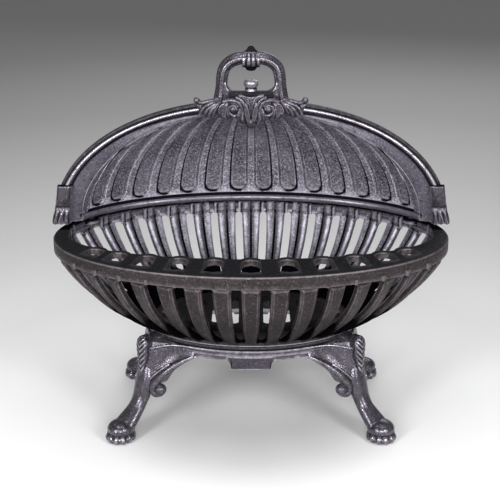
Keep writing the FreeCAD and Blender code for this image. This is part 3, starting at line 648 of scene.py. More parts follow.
@dataclass
class Basket:
    """Oval basket: rim with pierced flange, four rows of bars and a loose grate."""

    band_wall: float = 8.0
    flange: float = 7.0
    rear_flange: float = 20.0
    front_flange: float = 58.0
    hole_count: int = 11
    hole_pitch: float = 10.8
    hole_width: float = 22.0
    hole_margin: float = 4.0
    hole_outer: float = 15.0
    lobe_radius: float = 13.5
    peg_radius: float = 4.5
    peg_angle: float = 28.0
    peg_inset: float = 10.0
    end_holes: Table = ((216.0, 9.0), (212.5, -11.0))
    end_hole_radius: float = 5.6
    rear_web: float = 38.0
    rear_edge: float = 10.0
    rear_wall: float = 8.9
    rear_gap: float = 8.4
    bar_count: int = 36
    front_bars: int = 11
    gap_top: float = 11.0
    gap_foot: float = 6.5
    bar_thickness: float = 9.0
    bar_bulge: float = 12.0
    # Places that a bar is drawn at, from -1 at the band to 1 at the foot ring.
    bar_places: tuple[float, ...] = (-1.0, -0.985, -0.965, -0.94, -0.91, -0.87, -0.8, -0.6, -0.4, -0.2,
                                     0.0, 0.2, 0.4, 0.6, 0.75, 0.85, 0.92, 0.97, 1.02)
    top_inset: float = 7.5
    foot_inset: float = 4.5
    grate_slot: float = 12.0
    grate_rib: float = 9.0
    grate_border: float = 10.0

    def __post_init__(self) -> None:
        """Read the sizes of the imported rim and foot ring."""
        low, high = corner_mm("basket_rim")
        self.a, self.b, self.top, self.bottom = high.x, high.y, high.z, low.z
        low, high = corner_mm("basket_foot_ring")
        self.foot_a, self.foot_b, self.foot = high.x, high.y, high.z

    def flange_line(self, turn: float) -> tuple[Vector, Vector]:
        """Give the inner and outer ends of the front flange at a turn."""
        inner = oval(self.a - self.rear_flange, self.b - self.front_flange, turn)
        return inner, oval(self.a, self.b, turn)

    def hole_turns(self) -> list[float]:
        """Give the turns of the air holes."""
        middle = (self.hole_count - 1) / 2
        return [math.radians(self.hole_pitch) * (index - middle) for index in range(self.hole_count)]

    def rim(self) -> None:
        """Sweep the rim round the oval, with lobes round the air holes, and pierce it."""
        casting = Casting()
        front = steps(-math.pi / 2, math.pi / 2, 360)
        rear = steps(math.pi / 2, 3 * math.pi / 2, 220)
        turns = front + rear[1:]
        casting.skin([self.rim_section(turn) for turn in turns], closed=True)
        knife = Casting()
        for turn in self.hole_turns():
            self.air_hole(knife, turn)
        ends = [(Vector((side * x, y, 0.0)), self.end_hole_radius) for side in (1.0, -1.0) for x, y in self.end_holes]
        for place, radius in self.peg_places() + ends:
            low = place + UP * self.bottom
            ring = [low + oval(radius, radius, angle) for angle in round_angles(24)]
            knife.skin([ring, [point + UP * 40.0 for point in ring]])
        casting.carve(knife)
        obj = casting.piece("basket_rim_casting", Body.STAND, Slot.RIM, ["basket_rim"], Finish.RIM, 32.0, self.rim_painted_shade)
        paint(obj, self.rim_finish)

    def peg_places(self) -> list[tuple[Vector, float]]:
        """Give the middles and radii of the two holes for the hood's pegs.

        Returns:
            The middle and the radius of each hole.
        """
        turn = math.pi / 2 + math.radians(self.peg_angle)
        inset = self.peg_inset
        return [(oval(self.a - inset, self.b - inset, side * turn), self.peg_radius) for side in (1.0, -1.0)]

    def facing(self, place: Vector, normal: Vector) -> float:
        """Give how far a face looks out of the basket, from -1 to 1."""
        return normal.dot(Vector((place.x / self.a ** 2, place.y / self.b ** 2, 0.0)).normalized())

    def rim_finish(self, place: Vector, normal: Vector) -> Finish | None:
        """Choose the finish of a face of the rim: the brown bar iron on the band and hole walls, and its lit copy, with
        painted light, on the bright rear edge.

        Args:
            place: Middle of the face in millimetres.
            normal: Its direction.

        Returns:
            The finish, or None for the piece's own.
        """
        facing = self.facing(place, normal)
        if abs(normal.z) > 0.72:
            return None
        if facing > 0.4:
            return Finish.BAR
        return Finish.INNER if facing < -0.4 and place.y > 14.0 else None

    def rim_painted_shade(self, place: Vector) -> float:
        """Give the painted shade on the rim: dark along its rear top edge, under the hood."""
        return 0.85 * ease(10.0, 20.0, place.y) * ease(self.top - 6.0, self.top - 4.0, place.z)

    def lobe(self, turn: float) -> float:
        """Give how far the inner edge of the flange bulges at a turn.

        Args:
            turn: Turn on the oval in radians.

        Returns:
            The bulge in millimetres.
        """
        here = oval(self.a - self.rear_flange, self.b - self.front_flange, turn)
        bulge = 0.0
        for place in self.hole_turns():
            off = (here - self.flange_line(place)[0]).length
            if off < self.lobe_radius:
                bulge = max(bulge, math.sqrt(self.lobe_radius ** 2 - off ** 2) - 8.0)
        return bulge

    def rim_section(self, turn: float) -> list[Vector]:
        """Give the outline of the rim at a turn.

        Args:
            turn: Turn on the oval in radians.

        Returns:
            The points of the outline.
        """
        is_front = math.cos(turn) > 0
        inset = self.front_flange if is_front else self.rear_flange
        inner = oval(self.a - self.rear_flange, self.b - inset, turn)
        outer = oval(self.a, self.b, turn)
        line = (inner - outer).normalized()
        width, wall = (inner - outer).length, self.band_wall
        if is_front:
            width += self.lobe(turn)
        else:
            past = math.degrees(math.asin(-math.cos(turn)))
            width += (self.rear_edge - width) * ease(1.0, 15.0, past)
            wall += (self.rear_wall - wall) * ease(1.0, 15.0, past)
            for place, radius in self.peg_places():
                off = (oval(self.a - self.peg_inset, self.b - self.peg_inset, turn) - place).length
                width = max(width, self.peg_inset + math.sqrt(max((radius + 4.0) ** 2 - off ** 2, 0.0)))
        under, ledge = self.top - self.flange, width - wall
        outline = [
            (0.0, self.bottom + 2.0), (0.35, self.bottom + 0.7), (1.4, self.bottom),
            (wall - 1.4, self.bottom), (wall, self.bottom + 1.4),
            (wall, under - 2.5), (wall + min(0.8, ledge * 0.2), under - 0.7), (wall + min(1.6, ledge * 0.3), under),
            (width - min(2.6, ledge * 0.6), under), (width - min(1.2, ledge * 0.4), under),
            (width - min(0.4, ledge * 0.2), under + 0.5), (width, under + 1.7),
            (width, self.top - 1.9), (width - 0.4, self.top - 0.6), (width - 1.6, self.top),
            (width - 3.0, self.top), (4.5, self.top), (2.2, self.top - 0.05), (0.8, self.top - 0.4),
            (0.15, self.top - 1.3), (0.0, self.top - 2.6), (0.0, (self.top + self.bottom) / 2),
        ]
        return [outer + line * depth + UP * height for depth, height in outline]

    def air_hole(self, knife: Casting, turn: float) -> None:
        """Draw the tool for one pointed air hole, flared at the top so that the edge is broken.

        Args:
            knife: Drawing of what is cut away.
            turn: Turn on the oval in radians.
        """
        inner, outer = self.flange_line(turn)
        line = (outer - inner).normalized()
        across = Vector((-line.y, line.x, 0.0))
        half = self.hole_width / 2
        length = (outer - inner).length - self.hole_margin - self.hole_outer
        tip = inner + line * self.hole_margin
        sides = []
        for index in range(15):
            share = index / 14
            wide = half * math.sin(math.acos(1.0 - share / 0.5)) ** 0.9 if share < 0.5 else half
            if share > 0.86:
                wide = half * arc((share - 0.86) / 0.14) * 0.9 + half * 0.1
            sides.append((share * length, max(wide, 0.05)))
        outline = sides + [(place, -wide) for place, wide in reversed(sides)]
        middle = length / 2
        rows = []
        levels = ((self.bottom - 5.0, 0.0), (self.top - 1.3, 0.0), (self.top + 0.7, 2.0), (self.top + 5.0, 2.0))
        for height, grow in levels:
            row = []
            for place, wide in outline:
                spread = (place - middle) * (1.0 + grow / length) + middle
                row.append(tip + line * spread + across * (wide * (1.0 + grow / self.hole_width)) + UP * height)
            rows.append(row)
        knife.skin(rows)

    def even_turns(self, a: float, b: float) -> list[float]:
        """Give the turns of as many evenly spaced points as there are bars.

        Args:
            a: Half width of the oval.
            b: Half depth of the oval.

        Returns:
            The turns in radians, from the front.
        """
        count = 720
        lengths = [0.0]
        for step in range(count):
            here = oval(a, b, 2 * math.pi * step / count)
            there = oval(a, b, 2 * math.pi * (step + 1) / count)
            lengths.append(lengths[-1] + (there - here).length)
        turns, step = [], 0
        for index in range(self.bar_count):
            target = lengths[-1] * index / self.bar_count
            while lengths[step + 1] < target:
                step += 1
            share = (target - lengths[step]) / (lengths[step + 1] - lengths[step])
            turns.append(2 * math.pi * (step + share) / count)
        return turns

    def bars(self) -> None:
        """Draw all the bars and sort them into the four rows."""
        top_a, top_b = self.a - self.top_inset, self.b - self.top_inset
        foot_a, foot_b = self.foot_a - self.foot_inset, self.foot_b - self.foot_inset
        tops = [oval(top_a, top_b, turn, self.bottom) for turn in self.even_turns(top_a, top_b)]
        turn = 2 * math.pi / self.bar_count
        feet = [oval(foot_a, foot_b, turn * index, self.foot) for index in range(self.bar_count)]
        rows = {"front_bars": Casting(), "right_bars": Casting(), "rear_bars": Casting(), "left_bars": Casting()}
        side, half = self.front_bars // 2, self.bar_count // 2
        for index in range(self.bar_count):
            following = (index + 1) % self.bar_count
            pitch_top = (tops[following] - tops[index]).length
            pitch_foot = (feet[following] - feet[index - 1]).length / 2
            from_front = min(index, self.bar_count - index)
            if from_front <= side:
                name = "front_bars"
            elif from_front >= half - side:
                name = "rear_bars"
            else:
                name = "right_bars" if index < half else "left_bars"
            self.bar(rows[name], tops[index], feet[index], pitch_top, pitch_foot)
        for name, casting in rows.items():
            obj = casting.piece(name + "_casting", Body.STAND, Slot.BAR, [name], Finish.BAR, 30.0, self.bar_soot_and_shade)
            paint(obj, self.bar_finish)

    def bar_soot_and_shade(self, place: Vector) -> float:
        """Give the soot and painted shade on the bars at a place: black low down inside the bowl, darker towards the
        bottom all over, and dark at the top of the rear bars under the hood.

        Args:
            place: A place in millimetres.

        Returns:
            From 0 for clean to 1 for black.
        """
        inside = math.hypot(place.x / self.a, place.y / self.b)
        height = (place.z - self.foot) / (self.bottom - self.foot)
        bowl = 0.56 + 0.42 * math.sqrt(max(height, 0.0))
        # Soot and painted shade: black low down inside the bowl.
        black = (1.0 - ease(0.24, 0.46, height)) * ease(0.03, -0.02, inside - bowl)
        # Painted shade: darker towards the bottom.
        dull = 0.42 * (1.0 - ease(0.25, 0.95, height))
        # Painted shade at the top of the rear bars, under the hood.
        return max(black, dull, 0.7 * ease(1.15, 1.163, height))

    def bar_finish(self, place: Vector, normal: Vector) -> Finish | None:
        """Choose the lit, brighter copy of the bar iron, painted light, for the faces of the bars that look into the
        basket.
        """
        return Finish.INNER if self.facing(place, normal) < -0.12 else None

    def bar(self, casting: Casting, top: Vector, foot: Vector, pitch_top: float, pitch_foot: float) -> None:
        """Sweep one bowed bar whose sides spread into round slot ends.

        Args:
            casting: Drawing that it goes into.
            top: Its middle at the band.
            foot: Its middle at the foot ring.
            pitch_top: Spacing of the bars at the band.
            pitch_foot: Spacing of the bars at the foot ring.
        """
        run = foot - top
        chord = run.length
        run.normalize()
        across = Vector((run.y, -run.x, 0.0)).normalized()
        outward = across.cross(run).normalized()
        if outward.z > 0:
            outward = -outward
        radius = (chord ** 2 / 4 + self.bar_bulge ** 2) / (2 * self.bar_bulge)
        half_angle = math.asin(chord / 2 / radius)
        centre = (top + foot) / 2 - outward * (radius - self.bar_bulge)
        is_rear = top.y > 8.0
        wide_gap, web = (self.rear_gap, self.rear_web) if is_rear else (self.gap_top, 0.0)
        round_top, round_foot = wide_gap / 2, self.gap_foot * 0.9
        places = list(self.bar_places)
        rows = []
        if is_rear:
            places = sorted(places + [1.0 - 2.0 * (web + past) / chord for past in (0.0, 0.4, 1.2, 2.6, 5.0)])
            level = Vector((outward.x, outward.y, 0.0)).normalized()
            near_peg = min((top - place - UP * self.bottom).length for place, _ in self.peg_places()) < pitch_top * 0.7
            full = ((15.4, 0.0), (12.0, 0.0), (8.0, 0.0), (5.0, 0.2), (2.4, 0.5))
            for height, turned in ((3.5, 0.2), (2.0, 0.5)) if near_peg else full:
                facing = level.lerp(outward, turned).normalized()
                rows.append(self.bar_section(top + UP * height, across, facing, (pitch_top, pitch_top - wide_gap), 0.3))
        else:
            places.insert(0, -1.1)
        for share in places:
            angle = half_angle * share
            normal = outward * math.cos(angle) + run * math.sin(angle)
            lean = (share + 1.0) / 2.0
            gap = wide_gap + (self.gap_foot - wide_gap) * lean
            pitch = pitch_top + (pitch_foot - pitch_top) * lean
            core = max(pitch - gap, 4.0)
            below, above = lean * chord, max((1.0 - lean) * chord - web, 0.0)
            if below < round_top:
                gap *= arc((round_top - below) / round_top)
            if above < round_foot:
                gap *= arc((round_foot - above) / round_foot)
            proud = 0.3 + 0.7 * ease(-1.06, -0.93, share)
            widths = (max(pitch - gap, 4.0), core)
            rows.append(self.bar_section(centre + normal * radius, across, normal, widths, proud))
        casting.skin(rows)

    def bar_section(self, centre: Vector, across: Vector, outward: Vector, widths: tuple[float, float],
                    proud: float) -> list[Vector]:
        """Give the outline of a bar: a flat face with broken edges, and two round ridges inside.

        Args:
            centre: Middle of the bar.
            across: Direction across it.
            outward: Direction out of the basket.
            widths: Full width, with the web that ends a slot, and width of the ridged part.
            proud: How far the outer face stands out, from 0 to 1.

        Returns:
            The points of the outline.
        """
        half, core, deep = widths[0] / 2, min(widths) / 2, self.bar_thickness / 2
        right = [(side, depth * proud) for side, depth in (
            (half * 0.35, deep), (half - 3.4, deep), (half - 2.7, deep - 0.1), (half - 2.3, deep - 0.35),
            (half - 0.5, deep - 1.75), (half - 0.1, deep - 2.3), (half, deep - 3.1), (half, 0.0))]
        web = min(2.0 * (half - core), 2.2)
        right += [(half - 0.05, -0.8 - web), (core - 0.2, -1.4 - web * 0.8), (core - 0.9, -2.9 - web * 0.3),
                  (core - 2.3, -4.1), (core * 0.6, -deep), (core * 0.38, 0.5 - deep), (core * 0.2, 1.5 - deep),
                  (core * 0.07, 2.1 - deep)]
        outline = right + [(-side, depth) for side, depth in reversed(right)]
        return [centre + across * side + outward * depth for side, depth in outline]

    def grate(self) -> None:
        """Draw the loose grate with long round-ended slots."""
        low, high = corner_mm("bottom_grate")
        a, b = high.x, high.y
        casting = Casting()
        edge = [(1.2, low.z), (0.3, low.z + 0.4), (0.0, low.z + 1.3),
                (0.0, high.z - 1.4), (0.4, high.z - 0.4), (1.5, high.z)]
        casting.skin([[oval(a - inset, b - inset, turn, z) for turn in round_angles(160)] for inset, z in edge])
        knife = Casting()
        pitch = self.grate_slot + self.grate_rib
        count = int((a - self.grate_border - self.grate_slot) / pitch)
        for index in range(-count, count + 1):
            middle = index * pitch
            reach = (b - self.grate_border) * math.sqrt(1 - (middle / (a - self.grate_border)) ** 2)
            straight = max(reach - self.grate_slot / 2, self.grate_slot / 4)
            rows = []
            for height, grow in ((low.z - 3.0, 0.0), (high.z - 1.0, 0.0), (high.z + 0.8, 1.8), (high.z + 4.0, 1.8)):
                radius = self.grate_slot / 2 + grow / 2
                row = []
                for side in range(24):
                    angle = math.pi * (side + 0.5) / 12
                    shift = straight if math.sin(angle) > 0 else -straight
                    row.append(Vector((middle + radius * math.cos(angle), shift + radius * math.sin(angle), height)))
                rows.append(row)
            knife.skin(rows)
        casting.carve(knife)
        casting.piece("bottom_grate_casting", Body.GRATE, Slot.GRATE, ["bottom_grate"], Finish.GRATE, 32.0)

    def build(self) -> None:
        """Make every piece of the basket."""
        self.rim()
        self.bars()
        self.grate()
        dress_node("basket_foot_ring", Finish.BAR)
        dress_node("basket_bolts", Finish.FIXING)
        dress_node("basket_nuts", Finish.FIXING)


@dataclass
class Stand:
    """Ring on four bowed legs with scrolls, feathered knees and paws, and aprons between the legs."""

    leg_angle: float = 60.0
    front_spread: float = 27.0
    end_spread: float = 17.0
    pendant_half: float = 23.0
    pendant_drop: float = 14.0
    pendant_step: float = 8.0
    ridge_drop: float = 8.0
    wall: float = 6.5
    reach: float = 61.0
    knee_out: float = 28.0
    voxel: float = 0.72
    foot_x: float = 157.5
    foot_y: float = -86.0
    rear_draw: float = 6.0
    apron_soot: float = 0.34
    # Lower edge of a bracket: place from the leg to the apron, height under the ring.
    edge_table: Table = ((0.0, -54.0), (0.2, -48.0), (0.38, -36.0), (0.54, -26.0), (0.7, -17.0), (0.86, -9.0),
                         (1.0, -4.6), (1.14, -2.7), (1.3, -2.2))
    # Spine of a leg: place from knee to ankle, distance out, height, width, thickness.
    spine: Table = (
        (0.0, 13.0, 100.0, 8.0, 10.0), (0.18, 17.0, 86.0, 19.0, 15.0), (0.36, 20.5, 72.0, 26.0, 18.5),
        (0.52, 24.5, 58.0, 26.0, 19.5), (0.68, 30.0, 45.0, 22.8, 17.5), (0.8, 37.0, 34.5, 22.8, 17.0),
        (0.91, 47.5, 24.5, 27.0, 18.5), (1.0, 56.5, 17.0, 31.0, 19.0),
    )
    # Ridge of a knee under its leaf: height, distance out.
    ridge_table: Table = ((68.0, 31.0), (80.0, 28.8), (92.0, 27.0), (104.0, 26.0), (114.0, 26.0), (125.0, 24.0))
    # Scroll: place from tip to curl, place from the leg to the apron, distance out, height under the ring, radius.
    scroll_table: Table = (
        (0.0, 1.12, 1.0, -2.0, 1.4), (0.1, 0.98, 2.4, -4.6, 2.4), (0.26, 0.74, 6.6, -13.0, 3.6),
        (0.42, 0.53, 12.6, -23.0, 4.5), (0.56, 0.39, 17.6, -32.0, 5.0), (0.68, 0.31, 20.8, -40.0, 5.2),
        (0.78, 0.28, 22.0, -47.0, 5.2), (0.88, 0.32, 22.0, -52.5, 5.0), (1.0, 0.43, 20.4, -51.0, 4.6),
    )

    def __post_init__(self) -> None:
        """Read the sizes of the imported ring."""
        low, high = corner_mm("stand_ring")
        self.a, self.b, self.top, self.low = high.x, high.y, high.z, low.z
        self.knee = oval(self.a, self.b, math.radians(self.leg_angle))
        foot = Vector((self.foot_x, self.foot_y, 0.0))
        self.out = (foot - self.knee).normalized()
        self.across = Vector((-self.out.y, self.out.x, 0.0))

    def on_ring(self, turn: float, out: float, z: float) -> Vector:
        """Give a point at a distance straight out of the ring."""
        return oval(self.a, self.b, turn, z) + oval_normal(self.a, self.b, turn) * out

    def ring(self) -> None:
        """Sweep the ring with its rounded lip and ledge."""
        casting = Casting()
        top, low = self.top, self.low
        outline = [
            (-0.5, low), (0.6, low + 1.0), (0.8, top - 9.6), (0.9, top - 8.8), (0.2, top - 8.2), (-0.4, top - 7.2),
            (-0.5, top - 3.0), (-0.2, top - 1.6), (0.5, top - 1.0), (0.6, top - 0.4), (0.2, top), (-0.7, top),
            (-4.6, top), (-5.6, top - 0.6), (-6.0, top - 1.6), (-6.0, low + 8.6), (-6.6, low + 8.0), (-31.0, low + 8.0),
            (-32.0, low + 7.0), (-32.0, low + 1.0), (-31.0, low),
        ]
        rows = []
        for turn in steps(0.0, 2 * math.pi, 200):
            rows.append([oval(self.a + out, self.b + out, turn, z) for out, z in outline])
        casting.skin(rows, closed=True)
        casting.piece("stand_ring_casting", Body.STAND, Slot.STAND, ["stand_ring"], Finish.STAND, 34.0)

    def edge(self, off: float) -> float:
        """Give the height of a bracket's lower edge, with 0 at the leg and 1 where the apron begins."""
        return self.low + along(self.edge_table, off)[0]

    def front_edge(self, turn: float) -> float:
        """Give the lower edge of the front apron at a turn, with its pendant.

        Args:
            turn: Turn on the oval in radians.

        Returns:
            Its height in millimetres.
        """
        x = abs(self.a * math.sin(turn))
        arch = self.edge((math.radians(self.leg_angle) - abs(turn)) / math.radians(self.front_spread))
        past = min(max((self.pendant_half + self.pendant_step - x) / self.pendant_step, 0.0), 1.0)
        return arch - (self.pendant_drop - 2.2) * (1.0 - math.sqrt(1.0 - past ** 2.4))

    def skirt_section(self, turn: float, edge: float, out_top: float, out_low: float, ridge: float) -> list[Vector]:
        """Give the outline of an apron or a leg's bracket at a turn.

        Args:
            turn: Where round the ring.
            edge: Height of its lower edge.
            out_top: How far its upper ridge stands out of the ring.
            out_low: How far its lower edge stands out of the ring.
            ridge: Height of its upper ridge.

        Returns:
            The points of the outline.
        """
        bank = min(max(out_top - 1.0, 0.0) * 0.75, self.top - ridge - 0.6)
        outline = [(-self.wall, ridge - 2.0), (-1.0, ridge + bank), (out_top * 0.4, ridge + bank * 0.86),
                   (out_top * 0.72, ridge + bank * 0.52), (out_top - 1.2, ridge + 0.9), (out_top - 0.3, ridge + 0.6),
                   (out_top + 0.1, ridge - 0.1), (out_top - 0.2, ridge - 1.0)]
        start = out_top - 0.9
        for index in range(9):
            share = index / 8
            z = ridge - 2.0 + (edge + 1.8 - ridge + 2.0) * share
            outline.append((start + (out_low - start) * share ** 1.7, z))
        outline += [(out_low + 0.3, edge + 1.0), (out_low, edge + 0.3), (out_low - 0.9, edge), (-self.wall + 1.0, edge),
                    (-self.wall, edge + 1.0)]
        return [self.on_ring(turn, out, z) for out, z in outline]

    def aprons(self) -> None:
        """Sweep the front, rear and end aprons."""
        ridge = self.top - self.ridge_drop
        limit = math.radians(self.leg_angle - self.front_spread + 1.0)
        front = Casting()
        front.skin([self.skirt_section(turn, self.front_edge(turn), 0.9, 1.6, ridge)
                    for turn in steps(-limit, limit, 160)])
        rear = front.mirrored("Y")
        start = math.radians(self.leg_angle + self.end_spread - 1.0)
        rows = []
        for turn in steps(start, math.pi - start, 40):
            off = (math.pi / 2 - abs(turn - math.pi / 2) - math.radians(self.leg_angle)) / math.radians(self.end_spread)
            rows.append(self.skirt_section(turn, self.edge(off), 0.9, 1.6, ridge))
        end = Casting()
        end.skin(rows)
        other = end.mirrored("X")
        drawings = {"front_apron": front, "rear_apron": rear, "right_apron": end, "left_apron": other}
        for name, casting in drawings.items():
            casting.piece(name + "_casting", Body.STAND, Slot.STAND, [name], Finish.STAND, 40.0,
                          lambda place: self.apron_soot)

    def bracket(self, casting: Casting) -> None:
        """Sweep the concave bracket that carries a leg on the ring.

        Args:
            casting: Drawing that it goes into.
        """
        rows = []
        for share in steps(-1.06, 1.06, 120):
            spread = self.front_spread if share < 0 else self.end_spread
            turn = math.radians(self.leg_angle + share * spread)
            off = abs(share)
            bow = math.exp(-(off / 0.38) ** 1.6)
            out_top = 0.9 + (self.knee_out - 3.0) * bow
            out_low = 1.6 + (self.knee_out + 1.0) * math.exp(-(off / 0.6) ** 1.9)
            ridge = self.top - self.ridge_drop - 8.0 * bow
            rows.append(self.skirt_section(turn, self.edge(off), out_top, out_low, ridge))
        casting.skin(rows)

    def shank(self, casting: Casting) -> None:
        """Sweep the leg from the knee to the ankle and seat it in the paw.

        Args:
            casting: Drawing that it goes into.
        """
        rows = []
        for share in steps(0.0, 1.0, 44):
            out, z, wide, thick = along(self.spine, share)
            ahead, behind = along(self.spine, min(share + 0.02, 1.0)), along(self.spine, max(share - 0.02, 0.0))
            heading = (self.out * (ahead[0] - behind[0]) + UP * (ahead[1] - behind[1])).normalized()
            depth = heading.cross(self.across).normalized()
            middle = self.knee + self.out * out + UP * z
            row = []
            for angle in round_angles(28):
                row.append(middle + self.across * (wide / 2 * math.cos(angle)) + depth * (thick / 2 * math.sin(angle)))
            rows.append(row)
        casting.skin(rows)

    def feather(self, casting: Casting) -> None:
        """Draw the fluted leaf that lies along the ridge of the knee.

        Args:
            casting: Drawing that it goes into.
        """
        top, foot = self.top + 1.0, self.ridge_table[0][0]
        rows = []
        for z in steps(foot, top, 120):
            share = (z - foot) / (top - foot)
            wide = 1.2 + 7.6 * ease(0.0, 0.7, share)
            if share > 0.84:
                wide *= math.sqrt(max(1.0 - ((share - 0.84) / 0.162) ** 2, 0.02))
            out = along(self.ridge_table, z)[0]
            back = [self.knee + self.out * (out - 10.0) + self.across * (wide * 0.9 * side) + UP * z
                    for side in (1.0, -1.0)]
            row = []
            for index in range(21):
                side = index / 10 - 1.0
                crown = 0.48 * wide * math.sqrt(max(1.0 - side * side, 0.0))
                wave = abs(math.sin(math.pi * (z - abs(side) * wide * 1.1) / 6.4))
                flute = 1.9 * (wave - 0.6) * min(1.0, wide / 5.0) * (1.0 - abs(side) ** 5)
                row.append(self.knee + self.out * (out - 1.2 + crown + flute) + self.across * (side * wide) + UP * z)
            rows.append(row + back)
        casting.skin(rows)

    def scroll(self, casting: Casting, side: int) -> None:
        """Draw the roll along one edge of the bracket, curled up at its foot.

        Args:
            casting: Drawing that it goes into.
            side: -1 towards the front of the stand, 1 towards its end.
        """
        spread = self.front_spread if side < 0 else self.end_spread
        points, radii, lines, thin = [], [], [], []
        for share in steps(0.0, 1.0, 60):
            place, out, fall, radius = along(self.scroll_table, share)
            turn = math.radians(self.leg_angle + side * spread * place)
            points.append(self.on_ring(turn, out, self.low + fall))
            radii.append(radius)
            if 0.36 < share < 0.8:
                bend = ease(0.3, 0.75, share)
                inward = math.radians(self.leg_angle + side * spread * (place - 0.03 - 0.1 * bend))
                lines.append(self.on_ring(inward, out + 1.6 + 2.2 * bend, self.low + fall + 5.4 - 3.4 * bend))
                thin.append(1.5)
        face = oval_normal(self.a, self.b, math.radians(self.leg_angle + side * spread * 0.5))
        casting.tube(points, radii, face)
        casting.tube(lines, thin, face, 10)
        eye = math.radians(self.leg_angle + side * spread * 0.42)
        casting.ball(self.on_ring(eye, 18.6, self.low - 47.0), Vector((7.2, 7.2, 7.2)))

    def paw(self, casting: Casting) -> None:
        """Draw the paw: a round pad over a roll of toes.

        Args:
            casting: Drawing that it goes into.
        """
        foot = self.knee + self.out * self.reach
        heading = math.atan2(self.out.y, self.out.x)
        casting.ball(foot + UP * 15.6, Vector((17.0, 16.2, 10.6)), 18, heading)
        casting.ball(foot + self.out * 0.6 + UP * 6.4, Vector((18.2, 17.2, 6.4)), 18, heading)
        for index in range(9):
            spread = (index - 4) / 4 * math.radians(125.0)
            place = (foot + self.out * (0.8 + 13.4 * math.cos(spread)) + self.across * (12.6 * math.sin(spread))
                     + UP * 5.7)
            casting.ball(place, Vector((5.6, 4.8, 5.9)), 12, heading + spread)

    def legs(self) -> None:
        """Draw one leg, melt it together and mirror it to the other corners."""
        leg = Casting()
        self.bracket(leg)
        self.shank(leg)
        self.feather(leg)
        self.scroll(leg, -1)
        self.scroll(leg, 1)
        self.paw(leg)
        leg.fuse(self.voxel, 1)
        leg.cut(Vector((0.0, 0.0, 0.05)), -UP)
        left = leg.mirrored("X")
        rear_right = leg.mirrored("Y")
        rear_left = left.mirrored("Y")
        for casting in (rear_right, rear_left):
            for vert in casting.bm.verts:
                vert.co.x -= math.copysign(self.rear_draw * ease(95.0, 15.0, vert.co.z), vert.co.x)
        drawings = {"front_right_leg": leg, "front_left_leg": left, "rear_right_leg": rear_right,
                    "rear_left_leg": rear_left}
        for name, casting in drawings.items():
            casting.piece(name + "_casting", Body.STAND, Slot.STAND, [name], Finish.GRIP, 60.0, self.leg_soot)

    def leg_soot(self, place: Vector) -> float:
        """Give how sooty a leg is: clean at the paw, duller on the shank and next to the aprons."""
        return 0.32 * ease(24.0, 42.0, place.z) * (1.0 - 0.4 * ease(62.0, 82.0, place.z))

    def build(self) -> None:
        """Make every piece of the stand."""
        self.ring()
        self.aprons()
        self.legs()


